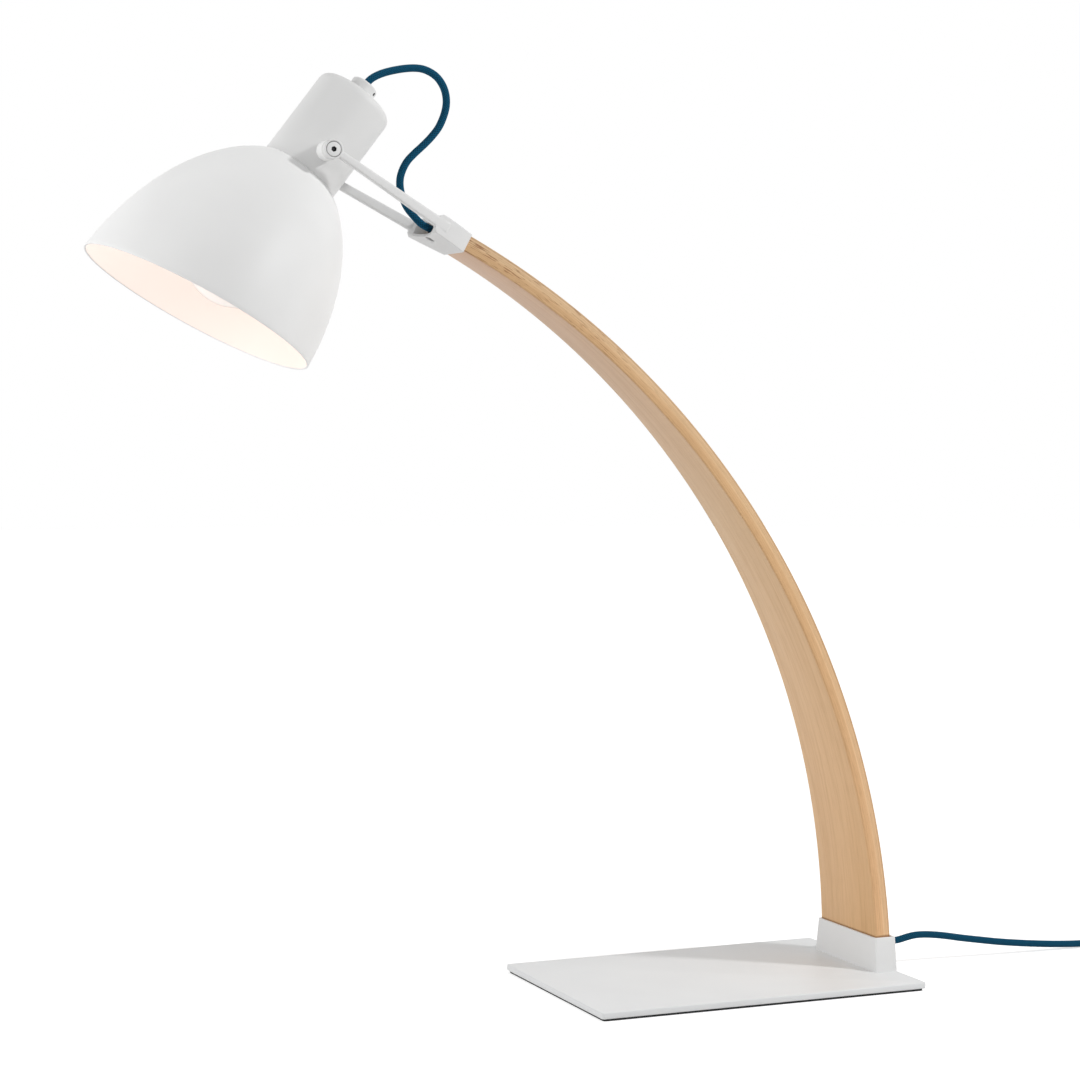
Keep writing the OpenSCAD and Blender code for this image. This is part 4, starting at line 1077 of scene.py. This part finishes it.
def make_switch():
    corner, groove, play, window_r = 5 * MM, 0.25 * MM, 0.8 * MM, 0.6 * MM
    lower = slab("lower_shell", SWITCH_W, SWITCH_L, corner, 0, SWITCH_SPLIT - groove / 2, 0.5 * MM,
                 WHITE_PLASTIC, SWITCH_AT)
    dress(lower, "stand", "white_plastic", "switch_lower")

    def window(d, down):
        wide, long = ROCKER_W + play + 2 * d, ROCKER_L + play + 2 * d
        return [Vector((p.x, p.y, SWITCH_H - down)) for p in rounded_outline(wide, long, window_r + d)]

    rings = slab_rings(SWITCH_W, SWITCH_L, corner, SWITCH_SPLIT + groove / 2, SWITCH_H, 1.2 * MM, 5)
    rings += [window(0.4 * MM, 0), window(0.1 * MM, 0.1 * MM), window(0, 0.4 * MM), window(0, 3 * MM)]
    upper = skin("upper_shell", [[SWITCH_AT @ p for p in ring] for ring in rings], WHITE_PLASTIC, 35)
    dress(upper, "stand", "white_plastic", "switch_upper")
    make_rocker()


def make_rocker():
    """Two faces that meet in a ridge, with eased edges; it rests tipped towards the lamp."""
    tip = math.radians(14) / 2
    place = SWITCH_AT @ Matrix.Translation((0, 0, ROCKER_AXIS_Z)) @ Matrix.Rotation(-tip, 4, "X")
    half, keel, depth = ROCKER_L / 2, ROCKER_L / 2 - 4 * MM, 3 * MM
    end_low, end_high, ridge, ridge_r = -0.4 * MM, 2.2 * MM, 3 * MM, 2.5 * MM
    profile = [(-half, end_low), (-keel, -depth), (keel, -depth), (half, end_low), (half, end_high),
               (0, ridge, ridge_r), (-half, end_high)]
    line = rounded_line(profile + profile[:2], 0.5 * MM, 5)[1:-1]
    ease = 0.4 * MM
    easing = [(0, 1.0), (0.3, 0.3), (1.0, 0)]
    stations = [(-1, back, shrink) for back, shrink in easing]
    stations += [(1, back, shrink) for back, shrink in reversed(easing)]
    rings = []
    for side, back, shrink in stations:
        x = side * (ROCKER_W / 2 - ease * back)
        inner = [p - p.normalized() * ease * shrink for p in line]
        rings.append([place @ Vector((x, p.x, p.y)) for p in inner])
    rocker = skin("rocker_key", rings, GREY_PLASTIC, 35)
    dress(rocker, "rocker", "grey_plastic", "switch_rocker")


def make_plug():
    length, shoulder, ease, corner = 36 * MM, 14 * MM, 0.8 * MM, 3.5 * MM
    wide, thick, rear_w, rear_t = 32 * MM, 13.6 * MM, 11 * MM, 9 * MM
    front = PLUG_AT.x - length

    def ring(x, w, t, r):
        return [Vector((x, PLUG_AT.y + p.x, PLUG_AT.z + p.y)) for p in rounded_outline(w, t, r)]

    rings = []
    for d, back in quarter_round(ease, 4):
        rings.append(ring(front + back, wide - 2 * d, thick - 2 * d, corner - d))
    steps, taper_start, taper_l, rear_ease = 12, length - shoulder - 2 * MM, shoulder + 1.5 * MM, 0.45 * MM
    for i in range(steps + 1):
        f = i / steps
        blend = f * f * (3 - 2 * f)
        w = wide + (rear_w - wide) * f * (0.75 + 0.25 * blend)
        t = thick + (rear_t - thick) * f
        rings.append(ring(front + taper_start + taper_l * f, w, t, corner))
    rings.append(ring(PLUG_AT.x, rear_w - 2 * rear_ease, rear_t - 2 * rear_ease, corner - rear_ease))
    body = skin("plug_shell", rings, HARD_BLACK)
    dress(body, "stand", "black_plastic", "plug_body")

    pin_r, pin_l, root_r, seat, tip, spacing = 2 * MM, 19 * MM, 2.8 * MM, 9 * MM, 1 * MM, 18.6 * MM
    root = pin_l + seat
    outline = [
        (0, 0), (pin_r - tip, 0), (pin_r, tip), (pin_r, pin_l), (root_r, pin_l), (root_r, root), (0, root),
    ]
    pins = []
    for s in (-1, 1):
        place = Matrix.Translation((front - pin_l, PLUG_AT.y + s * spacing / 2, PLUG_AT.z))
        place = place @ Matrix.Rotation(math.pi / 2, 4, "Y")
        pins.append(turned("pin", outline, STEEL, place, 48, 0.3 * MM, False))
    dress(joined(pins, "pins"), "stand", "screw_steel", "plug_pins")


def make_ties():
    """Two straps round the coil, each a flat band with eased edges; sizes in millimetres."""
    room, room_below, thick, wide, edge_r, corner, out = 0.6, 0.1, 1.2, 8, 0.35, 3.6, 1
    cord_r = CORD_R / MM
    inner, outer = COIL_INNER_R - cord_r - room, COIL_OUTER_R + cord_r + room
    low, high = COIL_Z - cord_r - room_below, COIL_Z + COIL_LAYER_H * (COIL_LAYERS - 1) + cord_r + room
    length, height = outer - inner + thick, high - low + thick
    line = rounded_outline(length, height, corner, 8)
    outside = rounded_outline(length + 2 * out, height + 2 * out, corner + out, 8)
    section = rounded_outline(thick, wide, edge_r, 3)
    middle = Vector(((inner + outer) / 2, 0, (low + high) / 2))
    straps = []
    for angle in (60, 200):
        place = Matrix.Translation((COIL_C[0] * MM, COIL_C[1] * MM, 0))
        place = place @ Matrix.Rotation(math.radians(angle), 4, "Z")
        rings = []
        for p, q in zip(line, outside):
            outward = (q - p).normalized()
            flat = [(p + outward * s.x, s.y) for s in section]
            rings.append([place @ ((middle + Vector((at.x, y, at.y))) * MM) for at, y in flat])
        straps.append(skin("strap", rings, HARD_BLACK, closed=True))
    dress(joined(straps, "straps"), "stand", "black_plastic", "coil_ties")


def paint_small_pieces():
    finishes = {
        "socket_screws": STEEL, "cord_clamp_screw": BLACK_STEEL_AND_SHADE, "lampholder_shell": BRASS,
        "lampholder_contact": BRASS, "holder_nipple": STEEL, "nipple_nut": STEEL,
        "gland_set_screw": BLACK_STEEL_AND_SHADE, "bulb_contact": GREY_PLASTIC, "switch_contacts": BRASS,
        "switch_screws": STEEL, "arm_cord": CORD_BLUE, "holder_lead": CORD_BLUE,
    }
    for node, material in finishes.items():
        paint(node, material)


# Stage and light

FLOOR_R = 6
GLOW_FROM, GLOW_TO = 0.5, 1.8
GLOW_NEAR, GLOW_FAR = 0.56, 0.75
AMBIENT = 0.49
LAMP_MIDDLE = Vector((-0.1, 0, 0.3))
SHADE_MIDDLE = Vector((-0.3, 0, 0.42))


def make_stage():
    """A plain white floor that keeps the lamp's shadow."""
    material, tree, shader = new_material("floor_white")
    tree.nodes.remove(shader)
    out = tree.nodes["Material Output"]
    plain = add_node(tree, "ShaderNodeBsdfDiffuse", Color=(0.8, 0.8, 0.8, 1))
    away = add_node(tree, "ShaderNodeVectorMath", operation="LENGTH")
    tree.links.new(position(tree), away.inputs[0])
    glow_level = remap(tree, away.outputs["Value"], GLOW_FROM, GLOW_TO, GLOW_NEAR, GLOW_FAR)
    glow = add_node(tree, "ShaderNodeEmission", Color=(1, 1, 1, 1))
    both = add_node(tree, "ShaderNodeAddShader")
    tree.links.new(math_node(tree, "MULTIPLY", seen_directly(tree), glow_level), glow.inputs["Strength"])
    tree.links.new(plain.outputs[0], both.inputs[0])
    tree.links.new(glow.outputs[0], both.inputs[1])
    tree.links.new(both.outputs[0], out.inputs["Surface"])
    mesh_build = bmesh.new()
    bmesh.ops.create_circle(mesh_build, cap_ends=True, segments=96, radius=FLOOR_R)
    floor = finish_mesh("floor", mesh_build, [material])


def area_light(name, place, target, size, power, diffuse=True, glossy=True):
    data = bpy.data.lights.new(name, "AREA")
    data.shape = "DISK"
    data.size = size
    data.energy = power
    lamp = bpy.data.objects.new(name, data)
    bpy.context.scene.collection.objects.link(lamp)
    lamp.location = place
    lamp.rotation_euler = (target - Vector(place)).to_track_quat("-Z", "Y").to_euler()
    lamp.visible_camera = False
    lamp.visible_diffuse = diffuse
    lamp.visible_glossy = glossy


def make_light():
    world = bpy.data.worlds.new("studio")
    world.use_nodes = True
    tree = world.node_tree
    strength = remap(tree, seen_directly(tree), 0, 1, AMBIENT, 1.0)
    set_inputs(tree, tree.nodes["Background"], Color=(1, 1, 1, 1), Strength=strength)
    scene = bpy.context.scene
    scene.world = world
    scene.view_settings.view_transform = "Standard"

    # The key casts the boss's and the arm's shadows; the gloss is the broad highlight on the dome
    area_light("key", (0.475, -0.456, 0.90), LAMP_MIDDLE, size=0.08, power=4.2, glossy=False)
    area_light("gloss", (1.32, -1.66, 1.29), SHADE_MIDDLE, size=0.7, power=18, diffuse=False)
    area_light("soft_left", (-1.16, -0.03, 0.66), SHADE_MIDDLE, size=0.7, power=4.35)
    area_light("soft_right", (1.1, -2.0, 0.7), LAMP_MIDDLE, size=0.7, power=3)


make_camera()
make_switch()
make_plug()
make_ties()
make_cords()
make_base()
make_arm()
make_socket()
make_relief()
make_fork()
make_shade()
make_neck()
make_bulb()
make_lampholder()
paint_small_pieces()
make_stage()
make_light()
